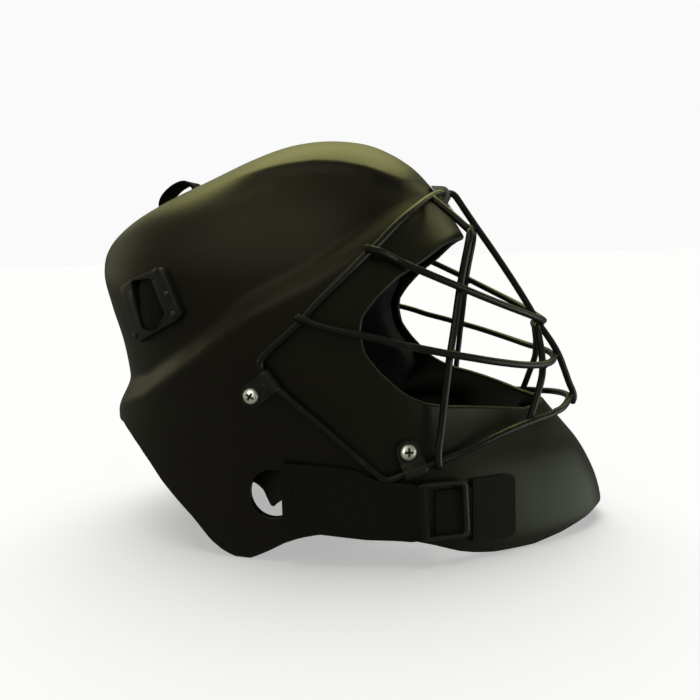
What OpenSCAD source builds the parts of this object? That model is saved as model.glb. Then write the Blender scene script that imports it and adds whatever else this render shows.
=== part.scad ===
// Field hockey goalkeeper helmet: one moulded shell, a welded wire face cage held by
// folded clips, foam pads, an adjustable plate behind the head and a neck strap.
// Millimetres. The helmet faces +X, its right side is -Y, and it stands on z = 0.

/* [Shell] */
// Length of the shell from the nape to the chin guard
shell_length = 346; // [320:1:370]
// Width of the shell over the cheek panels
shell_width = 210; // [196:1:224]
// Height of the shell from the skirt's tips to the crown
shell_height = 257; // [240:1:275]
// Thickness of the moulded wall
wall = 4; // [3:0.25:5]

/* [Face cage] */
// Diameter of the cage wires
wire_d = 4.4; // [3.8:0.1:5]
// Width of the folded clips that hold the cage
clip_width = 14; // [12:0.5:16]
// Thickness of the clips' sheet
clip_t = 1.6; // [1.2:0.1:2]
// Shank diameter of the clip screws
screw_d = 4; // [3.5:0.1:4.5]
// Head diameter of the clip screws
head_d = 9.4; // [8.5:0.1:10.5]

/* [Neck strap] */
// Width of the elastic strap
strap_width = 38; // [32:1:40]
// Thickness of one layer of the strap
strap_t = 2.2; // [1.8:0.1:2.6]
// Diameter of the round holes that the strap passes through
strap_hole_d = 29; // [26:0.5:31]
// Thickness of the bars of the buckle rings
ring_bar = 3.8; // [3.2:0.1:4.4]

/* [Back of the head] */
// Height of the slot plates above the shell
plate_t = 4.5; // [3:0.25:5.5]
// Width of the top web
web_width = 20; // [16:1:24]
// Thickness of the webs
web_t = 1.8; // [1.4:0.1:2.2]

/* [Pads] */
// Thickness of the foam pads
pad_t = 17; // [12:0.5:20]

/* [Hidden] */
$fn = 40;
eps = 0.02;

// Horizontal sections of the shell, drawn in millimetres from the table up:
// height, rear end, front end, half width, fullness of the front, fullness of the rear.
rows = [
    [0, -161, 172, 97, 1.85, 2.0],
    [12, -161, 173, 97, 1.85, 2.0],
    [30, -161, 168.5, 97, 1.82, 2.0],
    [50, -161, 158.5, 96.5, 1.8, 2.0],
    [66, -160.5, 146, 96, 1.78, 2.0],
    [82, -159, 133.5, 96, 1.78, 2.0],
    [100, -158, 126, 96, 1.8, 2.0],
    [125, -161, 115, 95.5, 1.85, 2.05],
    [150, -168, 103, 93.5, 1.95, 2.1],
    [172, -172.5, 92, 90, 2.0, 2.15],
    [190, -168, 83, 84.5, 2.05, 2.15],
    [206, -151.5, 73.5, 77.5, 2.1, 2.1],
    [220, -126, 63.5, 68, 2.1, 2.05],
    [233, -95, 50, 55.5, 2.05, 2.0],
    [243.5, -65, 35, 41, 2.0, 2.0],
    [251, -37, 17, 23, 2.0, 2.0],
    [254.3, -10, -10, 0, 2.0, 2.0]];
top = len(rows) - 1;

// Side view outlines, x then z: the groove over the flank, the crest over the brow,
// the lower and upper edges of the face opening, and the cut along the bottom.
groove = [[-175, 90], [-150, 99], [-118, 108], [-76, 134], [-38, 162], [-2, 179.5],
    [23, 197], [46, 214], [60, 224]];
crest = [[-175, 190], [-120, 212], [-68, 231], [-46, 235.5], [-21, 239.3], [8, 239.4],
    [30, 236.7], [48, 231], [62, 224.5], [80, 205]];
lip = [[27.3, 137], [28.1, 130], [29.7, 124], [33, 119], [37.8, 112.7], [43.8, 106.5],
    [49.8, 100.6], [56.4, 96.2], [63.6, 92.8], [74.3, 90], [84.7, 88.6], [95.3, 86.8],
    [108.7, 84.2], [122.9, 81], [133.5, 81]];
brow = [[27.3, 137], [28.3, 144], [31.6, 149], [36, 154.6], [42, 160.6], [48.4, 166.6],
    [56, 171.7], [63.3, 176.9], [68.7, 181.5], [74, 185.7], [78.6, 188.2], [82.7, 189.6],
    [84, 188]];
cut = [[-169, 67], [-157, 70], [-147, 71], [-137, 66], [-128, 60], [-117, 51], [-106.5, 40.6],
    [-94.5, 30.7], [-82.6, 21.1], [-76, 14.3], [-70, 8.2], [-62, 3], [-54, 0], [-43, 0],
    [-31, 5.6], [-21, 11], [-11, 14.5], [-1, 16.5], [14, 17.9], [30.6, 16.8], [49, 13.5],
    [67, 8.8], [81.6, 3.6], [91, 1.4], [102, 0], [126, 0], [143.6, 3], [161.6, 7.7], [169, 10.3]];
open_end = 137;      // height of the rear end of the face opening
flank_out = 8;       // how far the flank stands out below the groove
flank_soft = 17;     // height over which it does
ridge_up = 3.5;      // how far the brow's crest is raised
ridge_soft = 12;     // width over which it is

// Sizes of the drawing, and the scale from the drawing to the sizes above.
drawn = [max([for (r = rows) r[2]]) - min([for (r = rows) r[1]]),
    2 * (max([for (r = rows) r[3]]) + flank_out), rows[top][0] + ridge_up];
scaled = [shell_length / drawn[0], shell_width / drawn[1], shell_height / drawn[2]];

function at(p) = [p[0] * scaled[0], p[1] * scaled[1], p[2] * scaled[2]];
function unit(v) = v / norm(v);
function smooth(t) = let (u = min(1, max(0, t))) u * u * (3 - 2 * u);
function signed_pow(v, e) = sign(v) * pow(abs(v), e);
function spline(a, b, c, d, t) = 0.5 * (2 * b + (c - a) * t
    + (2 * a - 5 * b + 4 * c - d) * t * t + (3 * b - a - 3 * c + d) * t * t * t);

function row(i) = i < 0 ? 2 * rows[0] - rows[1]
    : i <= top ? rows[i]
    : let (r = rows[top - 1]) [r[0], r[2], r[1], -r[3], r[4], r[5]];
function section(s) = let (i = min(top - 1, max(0, floor(s))))
    spline(row(i - 1), row(i), row(i + 1), row(i + 2), s - i);

// A point of the outer skin. The bearing runs from 0 at the face to 180 at the nape
// over the right side, and the level s runs through the sections.
function skin(bearing, s, detail = 1) = let (
    v = section(s),
    z = v[0],
    c = -20 + 10 * pow(max(0, (z - 200) / 54.3), 2),
    cb = cos(bearing), sb = sin(bearing),
    h = max(0.5, cb > 0 ? v[2] - c : c - v[1]),
    n = cb > 0 ? v[4] : v[5],
    x = c + h * signed_pow(cb, 2 / n),
    y = -v[3] * signed_pow(sb, 2 / n),
    away = unit([cb / h, -sb / max(0.5, v[3])]),
    flank = detail * flank_out * smooth((lookup(x, groove) - z) / flank_soft)
        * (1 - smooth((cb - 0.45) / 0.55)),
    ridge = detail * ridge_up * smooth((x + 95) / 70) * smooth((75 - x) / 30)
        * smooth((z - lookup(x, crest) + ridge_soft / 2) / ridge_soft))
    [x + flank * away[0], y + flank * away[1], z + ridge];

// The same point in real size, moved outwards by some millimetres.
function place(bearing, s, out = 0, detail = 1) = let (
    p = at(skin(bearing, s, detail)),
    u = at(skin(bearing, s + 0.03, detail) - skin(bearing, s - 0.03, detail)),
    w = at(skin(bearing + 1, s, detail) - skin(bearing - 1, s, detail)))
    p + out * unit(cross(u, w));

// The level of a height, and the bearing where the skin has a given x or y.
function level(z, lo = 0, hi = top, n = 14) = let (m = (lo + hi) / 2) n == 0 ? m
    : section(m)[0] < z ? level(z, m, hi, n - 1) : level(z, lo, m, n - 1);
function bearing_x(x, s, lo = 0, hi = 180, n = 14) = let (m = (lo + hi) / 2) n == 0 ? m
    : skin(m, s)[0] > x ? bearing_x(x, s, m, hi, n - 1) : bearing_x(x, s, lo, m, n - 1);
function bearing_y(y, s, lo = 0, hi = 90, n = 14) = let (m = (lo + hi) / 2) n == 0 ? m
    : skin(m, s)[1] > y ? bearing_y(y, s, m, hi, n - 1) : bearing_y(y, s, lo, m, n - 1);
// The level where the skin at one bearing meets a side view outline.
function meet(bearing, line, lo, hi, n = 14) = let (m = (lo + hi) / 2, p = skin(bearing, m))
    n == 0 ? m : p[2] < lookup(p[0], line) ? meet(bearing, line, m, hi, n - 1)
    : meet(bearing, line, lo, m, n - 1);

// Points of the right side by side view place, and of the front by y and z.
function side(x, z, out = 0, detail = 1) = let (s = level(z)) place(bearing_x(x, s), s, out, detail);
function front(y, z, out = 0) = let (s = level(z)) place(bearing_y(y, s), s, out);
function over(pts, out) = [for (p = pts) side(p[0], p[1], len(p) > 2 ? p[2] + out : out)];

// A local frame on the right side: origin on the skin, Z outwards, X towards a second place.
function seat(a, b) = let (
    o = side(a[0], a[1]),
    q = side(b[0], b[1]),
    m = (a + b) / 2,
    z = unit(side(m[0], m[1], 1) - side(m[0], m[1], 0)),
    x = unit((q - o) - ((q - o) * z) * z))
    [o, x, cross(z, x), z];
function into(f, p) = let (d = p - f[0]) [d * f[1], d * f[2], d * f[3]];
module in_seat(f)
    multmatrix([[f[1][0], f[2][0], f[3][0], f[0][0]],
        [f[1][1], f[2][1], f[3][1], f[0][1]],
        [f[1][2], f[2][2], f[3][2], f[0][2]],
        [0, 0, 0, 1]]) children();
module left() mirror([0, 1, 0]) children();
module both() { children(); mirror([0, 1, 0]) children(); }

// A corner-rounded outline.
function rounded(p, r, n = 4) = [for (i = [0:len(p) - 1]) let (
    a = p[(i + len(p) - 1) % len(p)], b = p[i], c = p[(i + 1) % len(p)],
    u = unit(a - b), v = unit(c - b), half = acos(u * v) / 2,
    m = b + unit(u + v) * r / sin(half),
    s = b + u * r / tan(half) - m, e = b + v * r / tan(half) - m)
    for (k = [0:n]) m + r * unit(s * (n - k) + e * k)];

// A smooth curve through points. Past an end that lies on the middle plane the curve goes
// on as its mirror image: ends is 1 for such a start, 2 for both ends.
function flip(p) = [p[0], -p[1], p[2]];
function ghost(p, i, ends) = let (k = len(p) - 1) i < 0 ? (ends > 0 ? flip(p[1]) : 2 * p[0] - p[1])
    : i > k ? (ends > 1 ? flip(p[k - 1]) : 2 * p[k] - p[k - 1]) : p[i];
function curve(p, n = 3, ends = 0) = let (k = len(p) - 1) concat(
    [for (i = [0:k - 1], j = [0:n - 1]) spline(ghost(p, i - 1, ends), p[i], p[i + 1],
        ghost(p, i + 2, ends), j / n)], [p[k]]);
function tangent(p, i, ends = 0) = unit(ghost(p, i + 1, ends) - ghost(p, i - 1, ends));

// Rings of a round tube along points, carried on without twist from the first.
function carried(p, u, ends, i = 1) = i >= len(p) ? [u]
    : let (t = tangent(p, i, ends)) concat([u], carried(p, unit(u - (u * t) * t), ends, i + 1));
function tube(p, d, start, ends = 0, sides = 8) = let (
    t0 = tangent(p, 0, ends),
    u = carried(p, unit(start - (start * t0) * t0), ends))
    [for (i = [0:len(p) - 1]) let (v = cross(tangent(p, i, ends), u[i]))
        [for (k = [0:sides - 1]) p[i] + d / 2 * (cos(360 * (k + 0.5) / sides) * u[i]
            + sin(360 * (k + 0.5) / sides) * v)]];
function mirrored(q) = [for (p = q) flip(p)];

// A solid through rings of equal count, its ends closed flat unless it is a closed loop.
module loft(rings, loop = false) {
    n = len(rings); m = len(rings[0]);
    polyhedron(
        points = [for (r = rings, p = r) p],
        faces = concat(
            [for (i = [0:loop ? n - 1 : n - 2], k = [0:m - 1]) let (
                a = i * m + k, b = i * m + (k + 1) % m,
                c = ((i + 1) % n) * m + k, d = ((i + 1) % n) * m + (k + 1) % m)
                each [[a, c, b], [b, c, d]]],
            loop ? [] : [[for (k = [0:m - 1]) k], [for (k = [m - 1:-1:0]) (n - 1) * m + k]]),
        convexity = 8);
}
// A wire on one side, a wire that crosses the middle plane at its first point, and a
// closed wire that crosses it at both ends.
module wire(p, start = [0, 0, 1]) loft(tube(p, wire_d, start));
module bow(p, start = [0, 0, 1]) {
    r = tube(p, wire_d, start, 1);
    loft(concat([for (i = [len(r) - 1:-1:1]) mirrored(r[i])], r));
}
module hoop(p, start = [0, 0, 1]) {
    r = tube(p, wire_d, start, 2);
    loft(concat(r, [for (i = [len(r) - 2:-1:1]) mirrored(r[i])]), true);
}

// A solid between two equal grids of points, the first outside.
module slab(outer, inner) {
    n = len(outer); m = len(outer[0]); all = n * m;
    function id(i, k) = i * m + k;
    turn = cross(outer[0][1] - outer[0][0], outer[1][0] - outer[0][0])
        * (outer[0][0] + outer[1][1] - inner[0][0] - inner[1][1]) > 0;
    function face(f) = turn ? [f[2], f[1], f[0]] : f;
    polyhedron(
        points = concat([for (r = outer, p = r) p], [for (r = inner, p = r) p]),
        faces = [for (f = concat(
            [for (i = [0:n - 2], k = [0:m - 2]) each [
                [id(i, k), id(i, k + 1), id(i + 1, k)],
                [id(i, k + 1), id(i + 1, k + 1), id(i + 1, k)],
                [all + id(i, k), all + id(i + 1, k), all + id(i, k + 1)],
                [all + id(i, k + 1), all + id(i + 1, k), all + id(i + 1, k + 1)]]],
            [for (i = [0:n - 2]) each [
                [id(i, 0), id(i + 1, 0), all + id(i + 1, 0)],
                [id(i, 0), all + id(i + 1, 0), all + id(i, 0)],
                [id(i + 1, m - 1), id(i, m - 1), all + id(i, m - 1)],
                [id(i + 1, m - 1), all + id(i, m - 1), all + id(i + 1, m - 1)]]],
            [for (k = [0:m - 2]) each [
                [id(0, k + 1), id(0, k), all + id(0, k)],
                [id(0, k + 1), all + id(0, k), all + id(0, k + 1)],
                [id(n - 1, k), id(n - 1, k + 1), all + id(n - 1, k + 1)],
                [id(n - 1, k), all + id(n - 1, k + 1), all + id(n - 1, k)]]])) face(f)],
        convexity = 8);
}

// A flat band along points [x, z, out, width] of the right side. Its centre line stands
// out from the skin by the third number, and its width lies along the skin.
function band(p, t, ends = 0) = let (
    c = curve([for (q = p) side(q[0], q[1], q[2])], 2, ends),
    v = curve([for (q = p) unit(side(q[0], q[1] + 6) - side(q[0], q[1] - 6))], 2, 0),
    w = curve([for (q = p) q[3]], 2, 0))
    [for (i = [0:len(c) - 1]) let (up = unit(v[i]), n = unit(cross(up, tangent(c, i, ends))))
        [for (k = [0:3]) let (m = c[i] + up * w[i] * (k / 3 - 0.5)) [m + n * t / 2, m - n * t / 2]]];
module ribbon(b) slab([for (r = b) [for (q = r) q[0]]], [for (r = b) [for (q = r) q[1]]]);

// The moulded shell. Columns run round it by bearing, closer at the ends of the face
// opening. Rows run in two bands: from the cut up to the opening's lower edge, and from
// its upper edge to the crown. Behind the opening the two bands share one line.
face_columns = 11;
back_columns = 20;
low_rows = 9;
high_rows = 15;

module shell_body() {
    mid = level(open_end);
    end = bearing_x(lip[0][0], mid);
    half = concat(
        [for (k = [0:face_columns - 1]) end * (1 - pow(1 - k / face_columns, 1.5))],
        [for (k = [0:back_columns]) end + (180 - end) * k / back_columns]);
    last = len(half) - 1;
    low = [for (k = [0:last]) let (b = half[k],
        s0 = meet(b, cut, 0, level(90)),
        s1 = k < face_columns ? meet(b, lip, level(60), mid) : mid)
        [for (i = [0:low_rows]) s0 + (s1 - s0) * i / low_rows]];
    high = [for (k = [0:last]) let (b = half[k],
        s1 = k < face_columns ? meet(b, brow, mid, level(205)) : mid)
        [for (i = [0:high_rows - 1]) s1 + (top - s1) * i / high_rows]];
    // one column of points for each bearing, rows upwards, outside then inside
    function inside(b, s, i) = let (p = place(b, s), q = place(b, s, -1), d = q - p)
        i == 0 ? p + wall * unit([d[0], d[1], 0]) : p + wall * d;
    right = [for (k = [0:last]) concat(
        [for (s = low[k]) place(half[k], s)],
        [for (s = high[k]) place(half[k], s)],
        [for (i = [0:low_rows]) inside(half[k], low[k][i], i)],
        [for (s = high[k]) inside(half[k], s, 1)])];
    columns = concat(right, [for (k = [last - 1:-1:1]) mirrored(right[k])]);
    count = len(columns);
    tall = low_rows + 1 + high_rows;
    function open(j) = j < face_columns || j > count - face_columns;
    // vertex number: band 0 is the low one, band 1 the high one, inner adds one set
    function id(j, band, i, inner = 0) = let (c = (j + count) % count)
        c * 2 * tall + inner * tall
        + (band == 0 ? i : i == 0 && !open(c) ? low_rows : low_rows + 1 + i);
    crown = count * 2 * tall;
    polyhedron(
        points = concat([for (c = columns, p = c) p],
            [at([-10, 0, 254.3 + ridge_up]), at([-10, 0, 254.3 + ridge_up]) - [0, 0, wall]]),
        faces = concat(
            [for (j = [0:count - 1], band = [0, 1], i = [0:(band == 0 ? low_rows : high_rows - 1) - 1])
                each [
                    [id(j, band, i), id(j, band, i + 1), id(j + 1, band, i)],
                    [id(j + 1, band, i), id(j, band, i + 1), id(j + 1, band, i + 1)],
                    [id(j, band, i, 1), id(j + 1, band, i, 1), id(j, band, i + 1, 1)],
                    [id(j + 1, band, i, 1), id(j + 1, band, i + 1, 1), id(j, band, i + 1, 1)]]],
            [for (j = [0:count - 1]) each [
                [id(j, 1, high_rows - 1), crown, id(j + 1, 1, high_rows - 1)],
                [id(j, 1, high_rows - 1, 1), id(j + 1, 1, high_rows - 1, 1), crown + 1],
                [id(j, 0, 0), id(j + 1, 0, 0), id(j + 1, 0, 0, 1)],
                [id(j, 0, 0), id(j + 1, 0, 0, 1), id(j, 0, 0, 1)]]],
            [for (j = [-face_columns:face_columns - 1]) each [
                [id(j, 0, low_rows), id(j, 0, low_rows, 1), id(j + 1, 0, low_rows, 1)],
                [id(j, 0, low_rows), id(j + 1, 0, low_rows, 1), id(j + 1, 0, low_rows)],
                [id(j, 1, 0), id(j + 1, 1, 0), id(j + 1, 1, 0, 1)],
                [id(j, 1, 0), id(j + 1, 1, 0, 1), id(j, 1, 0, 1)]]]),
        convexity = 10);
}

// Places on the right side, x and z in the drawing.
upper_screw = [-36.6, 100.9];
upper_grip = [-28.2, 111.5];
lower_screw = [51.9, 65.4];
lower_grip = [55.5, 54.6];
strap_hole = [-27, 41.5];
ring_place = [72, 31];
plate_place = [-108, 152];
plate_outline = [[-96.4, 177.5], [-82.5, 147], [-89, 142.5], [-123.3, 127], [-134.5, 164.5]];
slot_outline = [[-121, 168.5], [-104.5, 169.5], [-95, 147], [-104.5, 137.5], [-115, 137.5]];
plate_rivets = [[-101.3, 173.6], [-93.2, 160], [-88.6, 148], [-122.4, 133.2]];
anchor_rivets_at = [[103, 36], [103, 18]];

rim_out = wire_d / 2 + clip_t + 0.25;   // the rim wire stands off by the clips' sheet
sheet = 2 * clip_t;
ring_out = 4.6;                          // the buckle ring's bars over their local plane
ring_half = [12.6, 17];                  // half spacing of the ring's bars
ring_seat = seat(ring_place, ring_place + [12, 0]);
plate_seat = seat(plate_place, plate_place + [12, 0]);

// Drills for the shell and the pieces on it.
module drill(p, d, from, to) in_seat(seat(p, p + [6, 0])) translate([0, 0, from]) cylinder(d = d, h = to - from);

// A clip's seat: the frame, the wire's distance from the screw and its height.
function clip_seat(screw, grip) = let (
    f = seat(screw, grip), w = into(f, side(grip[0], grip[1], rim_out)))
    [f, w[0], w[2], w[2] - wire_d / 2 - 0.2 - clip_t];
module clip_recess(c) in_seat(c[0]) translate([0, 0, c[3] - 0.03]) {
    cylinder(d = clip_width + 0.6, h = 12);
    translate([0, -clip_width / 2 - 0.3, 0]) cube([c[1] + 6, clip_width + 0.6, 12]);
}
module clip(c) {
    reach = c[1]; r = wire_d / 2 + 0.2; loop = r + clip_t; base = c[3];
    in_seat(c[0]) difference() {
        intersection() {
            rotate([90, 0, 0]) linear_extrude(clip_width, center = true) difference() {
                union() {
                    translate([reach, c[2]]) circle(loop);
                    translate([-clip_width / 2, base]) square([reach + clip_width / 2, sheet]);
                    polygon([[reach - loop - 2.6, base], [reach, base], [reach, c[2] + loop],
                        [reach - 0.6 * loop, c[2] + 0.8 * loop], [reach - loop - 2.6, base + sheet]]);
                }
                translate([reach, c[2]]) circle(r);
            }
            union() {
                cylinder(d = clip_width, h = 40, center = true);
                translate([0, -clip_width / 2, -20]) cube([reach + 20, clip_width, 40]);
            }
        }
        cylinder(d = screw_d + 0.4, h = 40, center = true);
    }
}
// A pan head screw in a clip's frame, and its barrel nut inside the shell.
module screw(c) in_seat(c[0]) {
    translate([0, 0, c[3] + sheet]) rotate_extrude() polygon([[0, 0], [head_d / 2, 0],
        [head_d / 2, 0.9], [head_d / 2 - 0.5, 1.7], [head_d / 2 - 1.6, 2.3], [0, 2.6]]);
    translate([0, 0, -wall - 5]) cylinder(d = screw_d, h = wall + 5 + c[3] + sheet + 0.1);
}
module nut(c) in_seat(c[0]) difference() {
    union() {
        translate([0, 0, -wall - 1]) cylinder(d = 11, h = 1.4);
        translate([0, 0, -wall - 5]) cylinder(d = 7, h = 5);
    }
    translate([0, 0, -wall - 6]) cylinder(d = screw_d, h = wall + 8);
}
module nut_recess(c, d, depth) in_seat(c[0]) translate([0, 0, -wall - depth]) cylinder(d = d, h = depth + 0.4);

upper = clip_seat(upper_screw, upper_grip);
lower = clip_seat(lower_screw, lower_grip);

// The slot plate's outline or slot in its local frame, grown by some millimetres.
function flat(p, f) = [for (q = p) let (w = into(f, side(q[0], q[1]))) [w[0], w[1]]];
module plate_body(gap = 0) intersection() {
    slab([for (z = [118:9:190]) [for (x = [-74:-9:-146]) side(x, z, plate_t + 8 * gap)]],
        [for (z = [118:9:190]) [for (x = [-74:-9:-146]) side(x, z, -0.5)]]);
    in_seat(plate_seat) linear_extrude(60, center = true) difference() {
        offset(delta = gap) polygon(rounded(flat(plate_outline, plate_seat), 5));
        if (gap == 0) polygon(rounded(flat(slot_outline, plate_seat), 2.5));
    }
}
module slot_cut() in_seat(plate_seat) translate([0, 0, -20]) linear_extrude(40)
    polygon(rounded(flat(slot_outline, plate_seat), 2.5));

// Slots across the crown for the top web, in the middle plane.
function roof_seat(x) = let (s = roof_level(x), o = place(180, s), z = unit(place(180, s, 1) - o))
    [o, cross([0, 1, 0], z), [0, 1, 0], z];
function roof_level(x, lo = 8, hi = top, n = 14) = let (m = (lo + hi) / 2) n == 0 ? m
    : skin(180, m)[0] < x ? roof_level(x, m, hi, n - 1) : roof_level(x, lo, m, n - 1);
roof_slots = [-130, -104];

module shell() color("#2b2b28") difference() {
    shell_body();
    both() {
        drill(strap_hole, strap_hole_d, -20, 20);
        clip_recess(upper);
        clip_recess(lower);
        in_seat(upper[0]) cylinder(d = screw_d + 0.6, h = 40, center = true);
        in_seat(lower[0]) cylinder(d = screw_d + 0.6, h = 40, center = true);
        nut_recess(upper, 12, 5);
        nut_recess(lower, 12, 5);
        slot_cut();
        plate_body(0.25);
        for (p = plate_rivets) { drill(p, 3, -12, 6); drill(p, 5.4, -12, -wall + 0.5); }
        for (p = anchor_rivets_at) { drill(p, 4, -12, 6); drill(p, 10, -12, -wall + 0.4); }
    }
    for (x = roof_slots) in_seat(roof_seat(x)) cube([5.4, web_width + 2, 30], center = true);
    for (y = brow_rivet_y) in_seat(brow_seat) translate([brow_rivet_x, y, -15]) {
        cylinder(d = 3.2, h = 30);
        cylinder(d = 6, h = 15 - brow_sag - wall + 0.5);
    }
}

// The face cage. Wires that lie on the shell go by side view places, the others are free.
rim_side = [[60.5, 213], [57, 209.2], [51.5, 203], [46, 197.2], [40.2, 191], [34.3, 184.6],
    [28.6, 179.2], [20.4, 171], [4, 155], [-6, 144], [-16, 135], [-27, 126], [-31.7, 121.2],
    [-33.6, 118], [-32.6, 115.2], [-28.2, 111.5], [-18.7, 104], [-3, 89.5], [12.7, 74.5],
    [26.7, 60.8], [34.3, 53.8], [37.3, 51.4], [40.5, 50.6], [44.2, 51.4], [49.5, 53.2], [55.5, 54.6],
    [61, 56.4], [69, 58.8], [80, 62]];
rim_top = front(0, 216.5, rim_out);
rim_path = curve(concat(
    [rim_top, rim_top - [0, 15.5, 0], front(-25, 215.2, rim_out)],
    over(rim_side, rim_out),
    [for (p = [[96, -76.5, 68], [111, -66, 73], [126, -51.5, 75.9], [131, -46.5, 76.6],
        [136.5, -40.5, 77.3], [140.6, -35, 78.2], [145, -28, 79], [149.5, -14, 80.5],
        [151.5, 0, 81]]) at(p)]), 1, 2);
upper_bar_path = concat(
    over([[43.9, 197.2], [40.1, 192.5], [36.3, 187.7], [35.4, 184.9]], rim_out + 3.8),
    over([[37, 182]], rim_out + 3),
    [for (p = [[48, -82.5, 176.4], [59.5, -79.5, 170.8], [71.5, -74, 165], [83.5, -66.5, 159.2],
        [94, -58.5, 154], [103.6, -50, 149.3], [113.5, -40, 144.5], [122, -29, 140.3],
        [130.5, -14, 135.7], [135, 0, 133]]) at(p)]);
lower_bar_path = concat(
    over([[7.1, 157.3], [2.8, 153], [-1.4, 148.8], [-2.3, 145.6]], rim_out + 3.8),
    over([[0.3, 142.6]], rim_out + 3.4),
    [for (p = [[10, -107.8, 140.6], [22.5, -106, 137.2], [35.8, -102.5, 133.9], [49, -99, 129.8],
        [62.5, -95, 126.5], [76, -90, 123], [88.4, -84, 120], [98.5, -78, 117.3],
        [108, -70.5, 114.8], [117.7, -61.5, 112.3], [126, -51, 110.4], [132, -42, 109.6],
        [136.5, -33, 109.3], [139.6, -20, 109.2], [141, -8, 109.2], [141.3, 0, 109.2]]) at(p)]);
centre_path = curve([for (p = [[63.5, 0, 224.5], [67.5, 0, 224], [71.2, 0, 222.2], [74.4, 0, 218.8],
    [82, 0, 208.6], [90.3, 0, 197.6], [102, 0, 180.2], [114.8, 0, 160.2], [124.5, 0, 144],
    [131.3, 0, 131.6], [136.5, 0, 124], [141, 0, 117], [145.2, 0, 109], [148.6, 0, 99.8],
    [151.9, 0, 90.4], [154.3, 0, 84.6], [155, 0, 80.5], [154, 0, 77]]) at(p)], 1);
hoop_path = [for (p = [[86.2, 0, 195.4], [86.3, -20, 195.3], [86.8, -38, 195], [87.6, -50, 194.6],
    [88, -56.5, 193], [87.8, -60, 189.8], [86.9, -62, 184.5], [84.5, -62.8, 173],
    [82.2, -63.6, 160.6], [80.7, -68, 150], [79.2, -75, 138], [77.8, -81.5, 128],
    [76.6, -85.6, 120], [75.3, -87.3, 109], [73.6, -88, 96], [71.8, -89, 80],
    [70, -93.2, 66], [70.3, -94.6, 57.4]]) at(p)];
mouth_path = [for (p = [[128.6, 0, 130.4], [128.8, -9, 130.6], [129.3, -15, 130.2],
    [130.2, -19, 127.4], [131, -22.5, 122], [131.8, -27.5, 115.8], [132, -33, 109.6],
    [131.8, -37, 104], [130.6, -41, 98.3], [128.2, -44.5, 90.6], [125.8, -47.2, 83],
    [123.6, -49, 76.5], [122.6, -49.6, 72.5]]) at(p)];
strut_path = [for (p = [[64.3, -36.6, 214.7], [71.8, -43, 208.1], [79.4, -49.4, 201.2],
    [87, -55.7, 193.9]]) at(p)];

module cage_rim() color("#1f1f1e") hoop(rim_path, [1, 0, 0]);
module upper_bar() color("#1f1f1e") bow([for (i = [len(upper_bar_path) - 1:-1:0]) upper_bar_path[i]]);
module lower_bar() color("#1f1f1e") bow([for (i = [len(lower_bar_path) - 1:-1:0]) lower_bar_path[i]]);
module centre_wire() color("#1f1f1e") wire(centre_path, [0, 1, 0]);
module brow_hoop() color("#1f1f1e") bow(hoop_path, [1, 0, 0]);
module mouth_hoop() color("#1f1f1e") bow(mouth_path, [1, 0, 0]);
module brow_strut_right() color("#1f1f1e") wire(strut_path);
module brow_strut_left() color("#1f1f1e") left() wire(strut_path);

module upper_clip_right() color("#3a322b") clip(upper);
module upper_clip_left() color("#3a322b") left() clip(upper);
module lower_clip_right() color("#3a322b") clip(lower);
module lower_clip_left() color("#3a322b") left() clip(lower);
module clip_screws() color("silver") both() { screw(upper); screw(lower); }
module clip_nuts() color("#8a8a86") both() { nut(upper); nut(lower); }

// The saddle that holds the cage's top to the brow, in a frame on the rim's top run. It
// rides over the rim wire, is notched for the centre wire, and is riveted in front of it.
brow_seat = let (s = level(216.5), o = place(0, s), z = unit(place(0, s, 1) - o))
    [o, cross([0, 1, 0], z), [0, 1, 0], z];
brow_rivet_x = 9.2;
brow_rivet_y = [-9, 9];
brow_sag = 0.8;                          // the brow falls away by this much at the rivets
module brow_clip() color("#4a4a46") in_seat(brow_seat) {
    r = wire_d / 2 + 0.35; h = rim_out; t = clip_t; low = 0.15;
    difference() {
        rotate([90, 0, 0]) linear_extrude(30, center = true) difference() {
            polygon([[-11, low], [-11, low + t], [-6.2, low + t], [-3.9, h + 0.6 * r],
                [-1.7, h + r + t - 0.2], [1.7, h + r + t - 0.2], [3.9, h + 0.6 * r],
                [6.2, low + t], [12.4, low + t], [12.4, low]]);
            translate([0, h]) circle(r);
        }
        translate([-9.4, -wire_d / 2 - 0.5, -4]) cube([5.5, wire_d + 1, 30]);
        translate([-4, -wire_d / 2 - 0.5, h - r]) cube([9, wire_d + 1, 30]);
        for (y = brow_rivet_y) translate([brow_rivet_x, y, -5]) cylinder(d = 3.2, h = 12);
    }
}
module brow_rivets() color("silver") for (y = brow_rivet_y)
    in_seat(brow_seat) translate([brow_rivet_x, y, 0]) {
        top_of_tab = 0.16 + clip_t; foot = -brow_sag - wall;
        translate([0, 0, foot - 0.3]) cylinder(d = 3, h = top_of_tab - foot + 0.4);
        translate([0, 0, top_of_tab]) cylinder(d1 = 5.4, d2 = 4.2, h = 1);
        translate([0, 0, foot - 0.3]) cylinder(d = 5.4, h = 0.75);
    }

// Raised plates round the slots at the rear sides, riveted on.
module slot_plate() difference() {
    plate_body();
    for (p = plate_rivets) drill(p, 3, -3, 12);
}
module slot_plate_right() color("#3c3c3a") slot_plate();
module slot_plate_left() color("#3c3c3a") left() slot_plate();
module slot_plate_rivets() color("#55534f") both() for (p = plate_rivets) {
    drill(p, 3, -wall - 0.3, plate_t + 0.6);
    drill(p, 5, plate_t - 0.1, plate_t + 0.9);
    drill(p, 5, -wall - 0.3, -wall + 0.45);
}

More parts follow.
